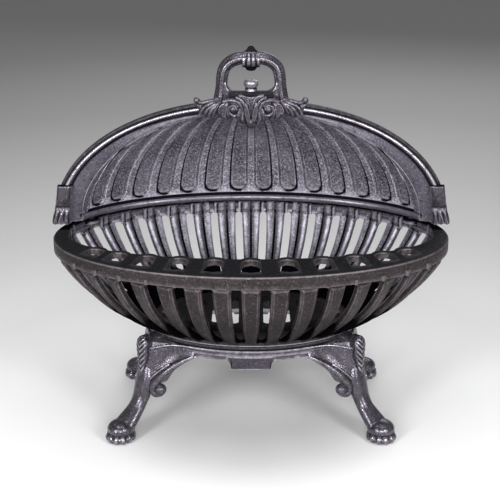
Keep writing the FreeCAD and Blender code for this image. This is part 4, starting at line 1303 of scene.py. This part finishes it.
@dataclass
class Hood:
    """Half dome that lifts off, with panels on its hollow face, an arch moulding, ears, a crest and a handle."""

    wall: float = 7.0
    setback: float = 50.0
    height: float = 157.0
    panel_turns: tuple[float, ...] = (4.1, 12.5, 21.0, 29.6, 38.9, 48.5, 58.2)
    panel_share: float = 0.75
    panel_depth: float = 3.2
    panel_foot: float = 13.2
    panel_head: float = 9.0
    groove: float = 1.3
    rim_gap: float = 3.0
    bead_proud: float = 3.5
    arch_power: float = 2.1
    handle_voxel: float = 0.62
    crest_voxel: float = 0.55
    crest_soot: float = 0.2
    # Ear: place from foot to top, its middle, half width and how far it stands out.
    ear_table: Table = (
        (0.0, 234.8, 11.1, 3.7), (0.08, 234.8, 11.0, 3.7), (0.2, 234.0, 10.5, 3.2), (0.33, 232.8, 9.6, 2.2),
        (0.42, 232.2, 9.1, 0.8), (0.5, 231.7, 8.9, 0.9), (0.62, 230.8, 8.9, 2.5), (0.8, 229.5, 8.9, 2.9),
        (0.93, 228.7, 8.8, 2.7), (0.97, 228.5, 8.8, 2.3), (1.0, 228.4, 8.3, 1.2),
    )
    # Loop of the handle: place from its foot to its top, distance from the middle, height over the arch, radius.
    loop_table: Table = (
        (0.0, 38.0, -6.0, 9.0), (0.08, 36.6, 4.0, 7.9), (0.2, 35.2, 16.0, 7.1), (0.36, 34.2, 28.5, 7.2),
        (0.52, 31.0, 38.7, 7.4), (0.66, 24.0, 45.6, 7.6), (0.83, 13.5, 49.6, 7.8), (1.0, 0.0, 50.8, 7.9),
    )
    # Fingers of the crest's right half: four places from root to tip, radius at the tip and at the fullest, depth.
    fingers: tuple[tuple, ...] = (
        ((37.0, 1.5), (48.0, -2.0), (57.0, -8.0), (61.5, -17.0), 1.7, 2.7, 4.6),
        ((36.5, 0.5), (46.0, -4.5), (53.0, -11.0), (56.0, -18.5), 1.8, 2.9, 5.2),
        ((36.0, 0.0), (43.0, -5.5), (48.5, -12.0), (50.5, -18.8), 1.8, 2.9, 5.4),
        ((35.5, -0.5), (40.5, -6.0), (44.0, -12.0), (45.0, -17.2), 1.8, 2.7, 5.2),
        ((35.0, -1.0), (38.0, -6.0), (39.6, -10.5), (40.0, -14.2), 1.6, 2.2, 4.8),
        ((40.0, 2.5), (50.0, 0.8), (58.0, -1.0), (64.0, 0.8), 2.6, 2.5, 4.6),
        ((28.0, 1.0), (34.0, -4.0), (37.0, -11.0), (35.5, -18.0), 2.2, 3.2, 6.4),
        ((27.0, 0.0), (31.0, -7.0), (32.5, -14.0), (30.5, -19.6), 2.2, 3.2, 6.8),
        ((26.0, -2.0), (27.5, -9.0), (27.5, -15.0), (25.5, -19.6), 1.8, 2.8, 6.0),
        ((10.0, -3.0), (13.5, -11.0), (15.2, -17.5), (14.0, -23.0), 2.0, 2.9, 5.8),
        ((8.0, -4.0), (10.0, -13.0), (10.4, -20.5), (9.0, -26.0), 2.0, 2.8, 6.0),
        ((14.0, 7.4), (9.0, 6.2), (4.6, 2.0), (1.6, -5.0), 1.7, 2.3, 7.4),
        ((17.0, 5.2), (12.0, 3.0), (8.0, -3.5), (5.4, -12.5), 1.7, 2.3, 6.8),
        ((6.0, 0.0), (5.4, -9.0), (3.8, -18.0), (2.4, -26.0), 2.4, 3.0, 7.0),
    )
    # Volute of the crest, and upper and lower edges of its backing: distance from the middle, height over the arch.
    volute: Table = ((32.0, -1.0), (25.0, 0.8), (16.0, -1.2), (11.0, -8.0), (13.0, -15.4), (20.0, -17.8),
                     (26.2, -13.6), (25.6, -7.4), (20.5, -5.6), (17.6, -9.6))
    plate_upper: Table = ((0.0, 5.0), (12.0, 6.0), (18.0, 3.4), (26.0, 0.4), (40.0, 1.0), (60.0, -1.0), (66.0, -1.0))
    plate_lower: Table = ((0.0, -22.0), (15.0, -20.0), (30.0, -17.5), (39.0, -12.5), (50.0, -17.0), (60.0, -14.5),
                          (66.0, -4.0))

    def __post_init__(self) -> None:
        """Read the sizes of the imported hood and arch."""
        low, high = corner_mm("hood_shell")
        self.base, self.b = low.z, high.y
        self.a = corner_mm("basket_rim")[1].x - self.rim_gap
        low, high = corner_mm("arch_moulding")
        self.arch_a, self.arch_top, self.arch_bead = high.x, high.z, low.y
        self.arch_h = self.arch_top - self.base
        self.arch_front = self.arch_bead + self.bead_proud

    def dome_point(self, inset: float, turn: float, rise: float) -> Vector:
        """Give a point of the dome, with the turn from the rear and the rise from its base.

        Args:
            inset: Distance inwards from the outside.
            turn: Turn from the rear in radians.
            rise: Angle up from the base in radians.

        Returns:
            The point in millimetres.
        """
        level = math.cos(rise)
        return Vector(((self.a - inset) * level * math.sin(turn), (self.b - inset) * level * math.cos(turn),
                       self.base + (self.height - inset) * math.sin(rise)))

    def top_rise(self, inset: float, turn: float) -> float:
        """Give the rise at which the dome meets the plane of the arch."""
        return math.acos(min(self.setback / ((self.b - inset) * math.cos(turn)), 1.0))

    def panels(self) -> list[tuple[float, float, float]]:
        """Give the middle, half width and half spacing of each panel in radians, from left to right.

        Returns:
            One row for each panel.
        """
        made = []
        for index, turn in enumerate(self.panel_turns):
            before = self.panel_turns[index - 1] if index else -turn
            pitch = math.radians(turn - before)
            made.append((math.radians(turn), pitch * self.panel_share / 2, pitch / 2))
        return [(-middle, half, room) for middle, half, room in reversed(made)] + made

    def stretch(self, turn: float) -> float:
        """Give the millimetres of the hollow face at its foot for one radian of turn."""
        return math.hypot((self.a - self.wall) * math.cos(turn), (self.b - self.wall) * math.sin(turn))

    def panel_foot_at(self, off: float, half: float) -> float:
        """Give the height of a panel's round foot at a distance from its middle."""
        inside = min(abs(off), half)
        return self.panel_foot + half - math.sqrt(half ** 2 - inside ** 2)

    def panel_sink(self, off: float, half: float, place: Vector, level: float) -> float:
        """Give how far a panel sinks the hollow face, from 0 to 1: deepest in the line along its edge.

        Args:
            off: Distance from the middle of the panel at its foot.
            half: Half width of the panel at its foot.
            place: The place on the hollow face.
            level: How much the face has narrowed there.

        Returns:
            The share of the full depth.
        """
        side = (half - abs(off)) * level
        up = place.z - self.base - self.panel_foot
        if up < half:
            side = half - math.hypot(off, half - up)
        side = min(side, (place.y - self.setback - self.panel_head) * 1.1)
        return ease(0.0, 0.9, side) * (1.0 - 0.3 * ease(1.2, 3.4, side))

    def shell_turns(self, end: float) -> list[tuple[float, float, float]]:
        """Give the turns that the shell is drawn at, each with its panel's middle and half width.

        Args:
            end: Last turn on each side in radians.

        Returns:
            The turns in radians, from left to right.
        """
        made = []
        for middle, half, room in self.panels():
            scale = 1.0 / self.stretch(middle)
            inside = [half - shift * scale for shift in (4.4, 3.4, 2.5, 1.6, 0.9, 0.45, 0.0)]
            inside = [half * share for share in (0.0, 0.16, 0.3, 0.44, 0.56)] + inside
            outside = [half + 0.7 * scale, half + 2.0 * scale, room - 0.3 * scale]
            right = inside + outside
            made += [(middle + off, middle, half) for off in [-off for off in reversed(right[1:])] + right]
        last, half = made[-1][0], made[-1][2]
        plain = [(turn, last, half) for turn in steps(last, end, 12)[1:]]
        return [(-turn, -middle, half) for turn, middle, half in reversed(plain)] + made + plain

    def shell(self) -> None:
        """Sweep the dome from side to side with its sunk panels, and lay the bead along its base."""
        end = math.acos(self.setback / (self.b - self.wall)) - math.radians(0.25)
        tall = self.height - self.wall
        casting = Casting()
        rows, marks = [], []
        for turn, middle, half in self.shell_turns(end):
            scale = self.stretch(middle)
            off, wide = (turn - middle) * scale, half * scale
            limit = self.top_rise(self.wall, turn)
            foot = self.panel_foot_at(off, wide)
            squeeze = min(1.0, tall * math.sin(limit) / 62.0)
            heights = [0.0, 6.0, 8.0, 8.8, 10.2, 11.6, 12.2]
            heights += [foot + shift for shift in (-0.6, 0.0, 0.45, 0.9, 1.5, 3.2, 7.0)]
            low = [math.asin(height * squeeze / tall) for height in heights]
            shelf = (self.setback + self.panel_head) / ((self.b - self.wall) * math.cos(turn))
            head = math.acos(shelf) if shelf < 1.0 else 0.0
            high = [head + shift / tall for shift in (-3.4, -1.5, -0.9, -0.45, 0.0, 0.8)]
            if high[0] < low[-1] + 0.03:
                high = [low[-1] + (limit - low[-1]) * share for share in (0.4, 0.5, 0.6, 0.7, 0.8, 0.9)]
            rises = low + steps(low[-1], high[0], 16)[1:-1] + high + [(high[-1] + limit) / 2, limit]
            row, mark = [], []
            for rise in rises:
                place = self.dome_point(self.wall, turn, rise)
                is_plain = abs(off) > wide * 1.0001
                sink = 0.0 if is_plain else self.panel_sink(off, wide, place, math.cos(rise))
                depth = self.panel_depth * sink + self.groove * self.in_groove(place.z - self.base)
                row.append(self.dome_point(self.wall - depth, turn, rise))
                mark.append(sink)
            outer_limit = self.top_rise(0.0, turn)
            outer = [self.dome_point(0.0, turn, outer_limit * share) for share in steps(1.0, 0.0, 14)]
            rows.append(row + outer)
            marks.append(mark + [0.0] * len(outer))
        casting.skin(rows, False, marks)
        self.base_bead(casting, end)
        obj = casting.piece("hood_shell_casting", Body.HOOD, Slot.HOOD, ["hood_shell"], Finish.PANEL, 50.0,
                            self.shell_painted_shade, 0.25)
        paint(obj, self.shell_finish)

    def shell_finish(self, place: Vector, _: Vector) -> Finish | None:
        """Choose the brighter finish for the bead along the foot of the hollow face."""
        reach = math.hypot(place.x / (self.a - self.wall), place.y / (self.b - self.wall))
        return Finish.BEAD if place.z - self.base < 8.75 and reach < 0.9995 else None

    def in_groove(self, height: float) -> float:
        """Give how far a height over the base lies in the groove above the bead, from 0 to 1."""
        return ease(8.0, 8.8, height) * (1.0 - ease(11.6, 12.2, height))

    def shell_painted_shade(self, place: Vector) -> float:
        """Give the painted shade on the dome: black in the groove above the bead, a painted shadow along the outer edge
        and the foot of each panel, darker over the bead and towards the ends.

        Args:
            place: A place in millimetres.

        Returns:
            From 0 for unshaded to 1 for black.
        """
        height = place.z - self.base
        a, b, tall = self.a - self.wall, self.b - self.wall, self.height - self.wall
        x, y, rise = abs(place.x) / a, place.y / b, height / tall
        size = Vector((x, y, rise)).length
        if size > 1.027:
            return 0.0
        sink = (size - 1.0) / (x * x / a + y * y / b + rise * rise / tall)
        turn = math.atan2(x * a / (a + sink), y * b / (b + sink))
        line = 0.0
        # Painted shadow on each panel floor beside its outer edge and along its foot.
        for middle, half, _ in self.panels()[len(self.panel_turns):]:
            scale = self.stretch(middle)
            off, wide, up = (turn - middle) * scale, half * scale, height - self.panel_foot
            is_foot = -1.0 < up < wide
            inside = wide - math.hypot(off, wide - up) if is_foot else wide - abs(off)
            if off > 0.0 and up > 0.0 or is_foot and up < wide * 0.6:
                reach = 0.7 + 3.0 * math.sin(middle) * ease(0.2 * wide, 0.8 * wide, off)
                line = max(line, (1.5 - max(inside - reach, -2.5 * inside) / 1.2) * ease(-0.7 * wide, 0.0, off))
        # Painted shade towards the ends of the dome, past the last panel.
        end = 0.5 * ease(0.0, 0.16, turn - middle - half)
        # Painted shade in the groove above the bead, and darker over the bead.
        return min(max(self.in_groove(height), 0.30 * ease(9.0, 8.8, height), line, end), 1.0)

    def base_bead(self, casting: Casting, end: float) -> None:
        """Lay a round bead along the foot of the hollow face.

        Args:
            casting: Drawing that it goes into.
            end: Last turn on each side in radians.
        """
        inner_a, inner_b = self.a - self.wall, self.b - self.wall
        curve = [(0.4 + 4.1 * max(math.cos(angle), 0.0) ** 0.8, 4.45 + 4.25 * math.sin(angle))
                 for angle in steps(-math.pi / 2, math.pi / 2, 26)]
        profile = [(-1.5, 0.2)] + curve + [(-1.5, 8.7)]
        rows = []
        for turn in steps(math.pi - end - 0.02, math.pi + end + 0.02, 160):
            middle = oval(inner_a, inner_b, turn, self.base)
            inward = -oval_normal(inner_a, inner_b, turn)
            rows.append([middle + inward * proud + UP * height for proud, height in profile])
        casting.skin(rows)

    def arch(self) -> None:
        """Sweep the moulding round the front edge of the dome, with a groove and a cove into the hollow face."""
        depth_b = self.b - self.wall
        share = math.sqrt(1.0 - (self.setback / depth_b) ** 2)
        inner_a, inner_h = (self.a - self.wall) * share, (self.height - self.wall) * share
        front, back, bead = self.arch_front, self.setback, self.arch_bead
        power = 2.0 / self.arch_power
        casting = Casting()
        rows = []
        for angle in steps(0.0, math.pi, 200):
            c, s = math.cos(angle), max(math.sin(angle), 0.0)
            outer = Vector((self.arch_a * math.copysign(abs(c) ** power, c), 0.0, self.base + self.arch_h * s ** power))
            inner = Vector((inner_a * c, 0.0, self.base + inner_h * s))
            line = (inner - outer).normalized()
            width = max((inner - outer).length, 18.0)
            span, reach = width - 15.8, math.hypot(inner.x, inner.z - self.base)
            fade = [(width + reach * (1.0 - math.sqrt(1.0 - (y / depth_b) ** 2) / share) + proud, y)
                    for y, proud in ((back + 2.4, 0.6), (back + 5.0, 0.3), (back + 8.0, -0.2), (back + 9.0, -2.0))]
            outline = [
                (2.0, back), (0.3, back - 1.0), (0.0, back - 2.5), (0.0, front + 3.2), (0.3, front + 1.9),
                (1.0, front + 1.0), (2.2, front + 0.6), (3.4, front + 0.5), (4.1, front + 0.3), (4.7, front - 0.8),
                (5.4, bead + 1.1), (6.3, bead + 0.35), (7.4, bead + 0.05), (8.5, bead + 0.35),
                (9.4, bead + 1.1), (10.1, front - 0.8), (10.6, front + 0.8),
                (11.2, front + 2.8), (12.1, front + 4.1), (13.2, front + 4.6), (14.4, front + 4.8), (15.8, front + 5.0),
                (15.8 + span * 0.25, front + 5.3), (15.8 + span * 0.5, front + 6.0), (15.8 + span * 0.72, front + 7.2),
                (15.8 + span * 0.9, front + 8.8), (width + 0.2, back + 0.6),
            ]
            rows.append([outer + line * depth + Vector((0.0, y, 0.0)) for depth, y in outline + fade])
        casting.skin(rows)
        obj = casting.piece("arch_moulding_casting", Body.HOOD, Slot.HOOD, ["arch_moulding"], Finish.HOOD, 45.0,
                            self.arch_painted_shade)
        paint(obj, self.arch_finish)

    def arch_inset(self, place: Vector) -> float:
        """Give how far inside the outer edge of the arch a place lies, seen from the front.

        Args:
            place: A place in millimetres.

        Returns:
            The distance in millimetres.
        """
        rise = max(place.z - self.base, 0.0)
        level = (abs(place.x) / self.arch_a) ** self.arch_power + (rise / self.arch_h) ** self.arch_power
        return (1.0 - level ** (1.0 / self.arch_power)) * math.hypot(place.x, rise)

    def arch_painted_shade(self, place: Vector) -> float:
        """Give the painted shade on the moulding: dark on both sides of the bead, on the lip into the dome and towards
        the ears.

        Args:
            place: A place in millimetres.

        Returns:
            From 0 for unshaded to 1 for black.
        """
        inset = self.arch_inset(place)
        # Painted shade in the groove inside the bead.
        groove = 0.85 * ease(10.2, 11.2, inset) * (1.0 - ease(12.6, 14.6, inset))
        groove *= ease(0.5, 2.5, place.y - self.arch_front)
        # Painted shade on the outer band, outside the bead.
        step = (0.55 + 0.25 * ease(3.2, 4.0, inset)) * (1.0 - ease(4.4, 5.2, inset))
        # Painted shade on the lip into the dome.
        lip = 0.5 * ease(3.0, 6.5, place.y - self.setback)
        # Painted shade towards the ears.
        return max(groove, step, lip, 0.52 * ease(11.0, 11.8, inset) * ease(105.0, 190.0, abs(place.x)))

    def arch_finish(self, place: Vector, normal: Vector) -> Finish | None:
        """Choose the finish of the moulding: near-black with painted shade outside and at the back, smooth on the bead,
        and the dome's own on the lip.

        Args:
            place: Middle of the face in millimetres.
            normal: Its direction.

        Returns:
            The finish, or None for the piece's own.
        """
        inset = self.arch_inset(place)
        if inset < 4.3 or place.y > self.setback - 1.5 and normal.y > 0.5:
            return Finish.BAND
        if place.y > self.setback + 1.0:
            return Finish.PANEL
        return Finish.GRIP if inset < 10.6 else None

    def ears(self) -> None:
        """Draw the fluted bracket at the right foot of the arch and mirror it to the left."""
        low, high = corner_mm("right_ear")
        tall = high.z - low.z
        casting = Casting()
        rows = []
        for share in steps(0.0, 1.0, 70):
            middle, half, proud = along(self.ear_table, share)
            flute = 1.5 * (1.0 - ease(0.24, 0.42, share)) + 0.2
            scallop = 3.0 * (1.0 - ease(0.0, 0.14, share))
            row = []
            for index in range(45):
                side = index / 22 - 1.0
                crown = math.sqrt(max(1.0 - abs(side) ** 3.2, 0.0))
                wave = abs(math.cos(side * 1.5 * math.pi))
                y = high.y - 3.0 - crown * (proud + flute * (wave - 0.35))
                lift = scallop * (1.0 - wave) * crown
                row.append(Vector((middle + side * half, max(y, low.y), low.z + tall * share + lift * (1.0 - share))))
            row += [Vector((middle + side * half, high.y, low.z + tall * share)) for side in (1.0, -1.0)]
            rows.append(row)
        casting.skin(rows)
        left = casting.mirrored("X")
        for name, drawing in (("right_ear", casting), ("left_ear", left)):
            # Painted shade: dark at the top, under the end of the arch, and in a band across the hollow waist.
            drawing.piece(name + "_casting", Body.HOOD, Slot.HOOD, [name], Finish.STAND, 40.0,
                          lambda place: max(0.9 * ease(0.955, 0.985, (place.z - low.z) / tall),
                                            0.7 - abs((place.z - low.z) / tall - 0.45) * 7.0))

    def handle(self) -> None:
        """Draw the loop handle with its ridge, knop, finial and saddle, and melt it together."""
        casting = Casting()
        high = corner_mm("carry_handle")[1]
        y = (self.arch_front + self.setback) / 2
        top = self.arch_top
        table = [(place, off, top + rise, radius) for place, off, rise, radius in self.loop_table]
        rows = []
        for share in steps(-1.0, 1.0, 96):
            side = math.copysign(1.0, share)
            up = 1.0 - abs(share)
            off, z, radius = along(table, up)
            ahead, behind = along(table, min(up + 0.02, 1.0)), along(table, max(up - 0.02, 0.0))
            heading = Vector((-side * (behind[0] - ahead[0]), 0.0, ahead[1] - behind[1])).normalized()
            if share > 0:
                heading = -heading
            outward = FRONT.cross(heading).normalized()
            middle = Vector((side * off, y, z))
            row = []
            for angle in round_angles(32):
                c, s = math.cos(angle), math.sin(angle)
                ridge = (0.9 + 0.16 * math.exp(-((abs(s) - 1.0) / 0.1) ** 2)
                         - 0.08 * math.exp(-((abs(s) - 0.8) / 0.12) ** 2))
                row.append(middle + outward * (radius * c) + Vector((0.0, -radius * s * ridge, 0.0)))
            rows.append(row)
        casting.skin(rows)
        self.saddle(casting, y)
        self.knop(casting, Vector((0.0, y, top + 50.0)), high.z)
        casting.fuse(self.handle_voxel, 1)
        casting.cut(Vector((0.0, 0.0, self.arch_top - 9.5)), -UP)
        casting.piece("carry_handle_casting", Body.HOOD, Slot.HOOD, ["carry_handle"], Finish.GRIP, 60.0, self.knop_darkening)

    def knop_darkening(self, place: Vector) -> float:
        """Give how dark the handle is made: dark at the finial's tip and on the saddle, and painted shade on the drop
        under the knop.

        Args:
            place: A place in millimetres.

        Returns:
            From 0 for none to 1 for black.
        """
        height = place.z - self.arch_top
        drop = ease(43.0, 41.0, height) * ease(26.0, 30.0, height) * ease(16.0, 12.0, abs(place.x))
        saddle = ease(30.0, 26.0, abs(place.x)) * ease(13.0, 10.5, height)
        return max(0.75 * ease(56.5, 58.5, height), 0.8 * drop, 0.7 * saddle)

    def saddle(self, casting: Casting, y: float) -> None:
        """Draw the bar between the feet of the loop, flared up into them.

        Args:
            casting: Drawing that it goes into.
            y: How far back the loop stands.
        """
        rows = []
        for x in steps(-43.0, 43.0, 86):
            bend = min(max((abs(x) - 17.0) / 13.0, 0.0), 1.0)
            lift = 13.0 * (1.0 - math.sqrt(1.0 - bend * bend)) * (1.0 - ease(33.0, 43.0, abs(x)))
            top = self.arch_top + 10.6 + lift - 6.0 * ease(34.0, 43.0, abs(x))
            thin = 1.0 + 0.2 * bend
            foot = self.arch_top - 10.0
            outline = ((-5.0, foot), (-5.4, top - 3.0), (-4.4, top - 0.9), (-2.6, top),
                       (2.6, top), (4.4, top - 0.9), (5.4, top - 3.0), (5.0, foot))
            rows.append([Vector((x, y + depth * thin, z)) for depth, z in outline])
        casting.skin(rows)

    def knop(self, casting: Casting, centre: Vector, tip: float) -> None:
        """Draw the beads, collars, finial and drop at the top of the loop.

        Args:
            casting: Drawing that it goes into.
            centre: Middle of the knop.
            tip: Height of its top.
        """
        for x, wide, radius in ((-2.6, 2.6, 8.0), (2.6, 2.6, 8.0), (-8.6, 2.2, 6.9), (8.6, 2.2, 6.9)):
            rows = []
            for angle in steps(0.0, 2 * math.pi, 40):
                arm = Vector((0.0, math.cos(angle), math.sin(angle)))
                middle = centre + Vector((x, 0.0, -2.0)) + arm * radius
                rows.append([middle + arm * (wide * math.sin(turn)) + Vector((wide * math.cos(turn), 0.0, 0.0))
                             for turn in round_angles(16)])
            casting.skin(rows, closed=True)
        rise = tip - centre.z
        finial = [(12.5, 0.0), (11.5, 5.6), (9.4, 7.2), (6.8, 8.8), (4.8, 10.8), (3.6, rise - 1.4),
                  (2.2, rise - 0.4), (0.8, rise)]
        drop = [(12.0, -4.0), (11.6, -7.4), (9.4, -8.8), (7.6, -10.6), (6.4, -12.6), (5.0, -14.2),
                (2.8, -15.0), (0.6, -15.2)]
        for table in (finial, drop):
            rows = []
            for half, height in table:
                deep = min(half, 5.6)
                rows.append([centre + Vector((half * math.cos(turn), deep * math.sin(turn), height))
                             for turn in round_angles(24)])
            casting.skin(rows)

    def button(self) -> None:
        """Spin the small button that stands inside the loop."""
        low, high = corner_mm("handle_button")
        radius, tall = (high.x - low.x) / 2, high.z - low.z
        casting = Casting()
        shares = ((0.86, 0.0), (0.84, 0.12), (0.8, 0.2), (0.78, 0.26), (0.84, 0.3), (0.93, 0.33), (0.98, 0.38),
                  (1.0, 0.48), (1.0, 0.62), (0.97, 0.72), (0.86, 0.81), (0.55, 0.86))
        side = [(radius * wide, tall * up) for wide, up in shares]
        profile = [(0.01, 0.0)] + side + [(0.01, tall * 0.87)]
        casting.turned(profile, Vector((0.0, (low.y + high.y) / 2, low.z)))
        casting.piece("handle_button_casting", Body.HOOD, Slot.HOOD, ["handle_button"], Finish.STAND, 40.0)

    def crest(self) -> None:
        """Draw the leaf crest: fold, volutes and fingered leaves on a backing, melted together."""
        casting = Casting()
        low, high = corner_mm("crest_leaf")
        back, front, top = high.y, low.y, self.arch_top
        for side in (-1.0, 1.0):
            for *route, tip, wide, proud in self.fingers:
                self.finger(casting, [(side * x, top + z) for x, z in route], tip, wide, back - proud)
            points = self.smooth([Vector((side * x, back - 5.8 - 0.8 * index / 9, top + z + 1.4))
                                  for index, (x, z) in enumerate(self.volute)])
            casting.tube(points, steps(3.0, 2.0, LINE_STEPS), FRONT, 12)
            casting.ball(Vector((side * 21.2, back - 5.6, top - 8.8)), Vector((4.4, 3.6, 4.4)))
            casting.ball(Vector((side * 64.6, back - 4.0, top + 1.8)), Vector((3.8, 3.6, 4.0)))
        casting.ball(Vector((0.0, back - 4.2, top - 25.4)), Vector((6.4, 4.8, 7.4)))
        plate, end = [], self.plate_upper[-1][0]
        for x in steps(-end, end, 40):
            upper, lower = top + along(self.plate_upper, abs(x))[0], top + along(self.plate_lower, abs(x))[0]
            plate.append([Vector((x, back - depth, z)) for depth, z in
                          ((0.0, lower), (0.0, upper), (2.0, upper), (3.2, (upper + lower) / 2), (2.0, lower))])
        casting.skin(plate)
        casting.fuse(self.crest_voxel, 1)
        for vert in casting.bm.verts:
            vert.co.y = max(vert.co.y, front)
        casting.piece("crest_leaf_casting", Body.HOOD, Slot.HOOD, ["crest_leaf"], Finish.STAND, 60.0,
                      lambda place: self.crest_soot)

    def smooth(self, points: Sequence[Vector]) -> list[Vector]:
        """Give many points on a smooth line through a few."""
        table = [(index / (len(points) - 1), *point) for index, point in enumerate(points)]
        return [Vector(along(table, share)) for share in steps(0.0, 1.0, LINE_STEPS)]

    def finger(self, casting: Casting, route: Sequence[tuple[float, float]], tip: float, wide: float, y: float) -> None:
        """Draw one rounded finger of a leaf.

        Args:
            casting: Drawing that it goes into.
            route: Places along its middle, from root to tip.
            tip: Radius at the tip.
            wide: Radius at its fullest.
            y: How far forward its middle lies.
        """
        ends = (0, len(route) - 1)
        points = self.smooth([Vector((x, y + (1.4 if index in ends else 0.0), z))
                              for index, (x, z) in enumerate(route)])
        radii = [tip + (wide - tip) * math.sin(math.pi * (share * 0.8 + 0.1)) for share in steps(0.0, 1.0, LINE_STEPS)]
        casting.tube(points, radii, FRONT, 12)

    def build(self) -> None:
        """Make every piece of the hood."""
        self.shell()
        self.arch()
        self.ears()
        self.handle()
        self.button()
        self.crest()
        dress_node("locating_pegs", Finish.FIXING)


@dataclass
class Studio:
    """Pale floor with painted shadow and fall-off, soft light and a camera at the photograph's viewing angle."""

    camera_y: float = -1.319
    camera_z: float = 0.703
    pitch: float = 20.4
    lens: float = 83.38
    shift: float = -0.002
    floor_radius: float = 9.0
    floor_span: float = 4.0
    # Tones of the floor, with a painted shadow in the middle and painted fall-off far away: share of the span from the
    # middle, brightness.
    floor_tones: Table = (
        (0.02, 0.54), (0.034, 0.61), (0.05, 0.82), (0.08, 0.82), (0.105, 0.77), (0.13, 0.78),
        (0.186, 0.69), (0.275, 0.57), (0.40, 0.445), (0.59, 0.375), (0.87, 0.43))

    def floor(self) -> None:
        """Lay a wide floor with light painted into its colour: a painted shadow under the object, a pale pool round it,
        and darker far away.
        """
        bm = bmesh.new()
        bmesh.ops.create_circle(bm, cap_ends=True, segments=96, radius=self.floor_radius)
        mesh = bpy.data.meshes.new("floor")
        bm.to_mesh(mesh)
        bm.free()
        graph = Graph("floor_paper")
        coords = graph.coords()
        length = graph.tree.nodes.new("ShaderNodeVectorMath")
        length.operation = "LENGTH"
        graph.feed(length.inputs[0], coords)
        ramp = graph.tree.nodes.new("ShaderNodeValToRGB")
        graph.feed(ramp.inputs["Fac"], graph.ranged(length.outputs["Value"], 0.0, self.floor_span, 0.0, 1.0))
        while len(ramp.color_ramp.elements) < len(self.floor_tones):
            ramp.color_ramp.elements.new(0.5)
        for element, (place, tone) in zip(ramp.color_ramp.elements, self.floor_tones):
            element.position = place
            element.color = (tone, tone, tone, 1.0)
        shader = graph.add("ShaderNodeBsdfPrincipled", Base_Color=ramp.outputs["Color"], Roughness=0.9,
                           Specular_IOR_Level=0.1)
        mesh.materials.append(graph.close(shader))
        obj = bpy.data.objects.new("floor", mesh)
        bpy.context.scene.collection.objects.link(obj)

    def lamp(self, name: str, place: Vector, aim: Vector, size: tuple[float, float], power: float) -> None:
        """Hang one soft box.

        Args:
            name: Name of the lamp.
            place: Where it hangs, in metres.
            aim: What it points at.
            size: Width and height.
            power: Watts.
        """
        light = bpy.data.lights.new(name, "AREA")
        light.shape = "RECTANGLE"
        light.size, light.size_y = size
        light.energy = power
        obj = bpy.data.objects.new(name, light)
        obj.location = place
        obj.rotation_euler = (aim - place).to_track_quat("-Z", "Y").to_euler()
        bpy.context.scene.collection.objects.link(obj)

    def build(self) -> None:
        """Set up the floor, the lamps, the world and the camera."""
        scene = bpy.context.scene
        self.floor()
        aim = Vector((0.0, 0.0, 0.22))
        self.lamp("overhead", Vector((0.0, -0.2, 1.9)), aim, (1.6, 1.1), 12.0)
        self.lamp("left_box", Vector((-1.15, -1.6, 0.95)), aim, (0.5, 1.2), 27.0)
        self.lamp("right_box", Vector((1.15, -1.5, 0.95)), aim, (0.5, 1.2), 23.0)
        self.lamp("front_box", Vector((0.0, -2.3, 0.9)), aim, (0.7, 0.9), 36.0)
        self.lamp("rear_box", Vector((0.5, 2.1, 1.3)), aim, (1.6, 0.8), 9.0)
        world = bpy.data.worlds.new("studio")
        world.use_nodes = True
        background = world.node_tree.nodes["Background"]
        background.inputs["Color"].default_value = (0.62, 0.62, 0.64, 1.0)
        background.inputs["Strength"].default_value = 0.36
        scene.world = world
        camera = bpy.data.cameras.new("camera")
        camera.sensor_width = 36.0
        camera.lens = self.lens
        camera.shift_x = self.shift
        obj = bpy.data.objects.new("camera", camera)
        obj.location = Vector((0.0, self.camera_y, self.camera_z))
        obj.rotation_euler = (math.radians(90.0 - self.pitch), 0.0, 0.0)
        scene.collection.objects.link(obj)
        scene.camera = obj
        scene.view_settings.view_transform = "Standard"


def main() -> None:
    """Build the fire basket piece by piece, then the studio."""
    logging.basicConfig(level=logging.INFO, format="%(name)s %(message)s")
    for assembly in (Stand(), Basket(), Hood(), Studio()):
        assembly.build()
    bpy.context.view_layer.update()


if __name__ == "__main__":
    main()
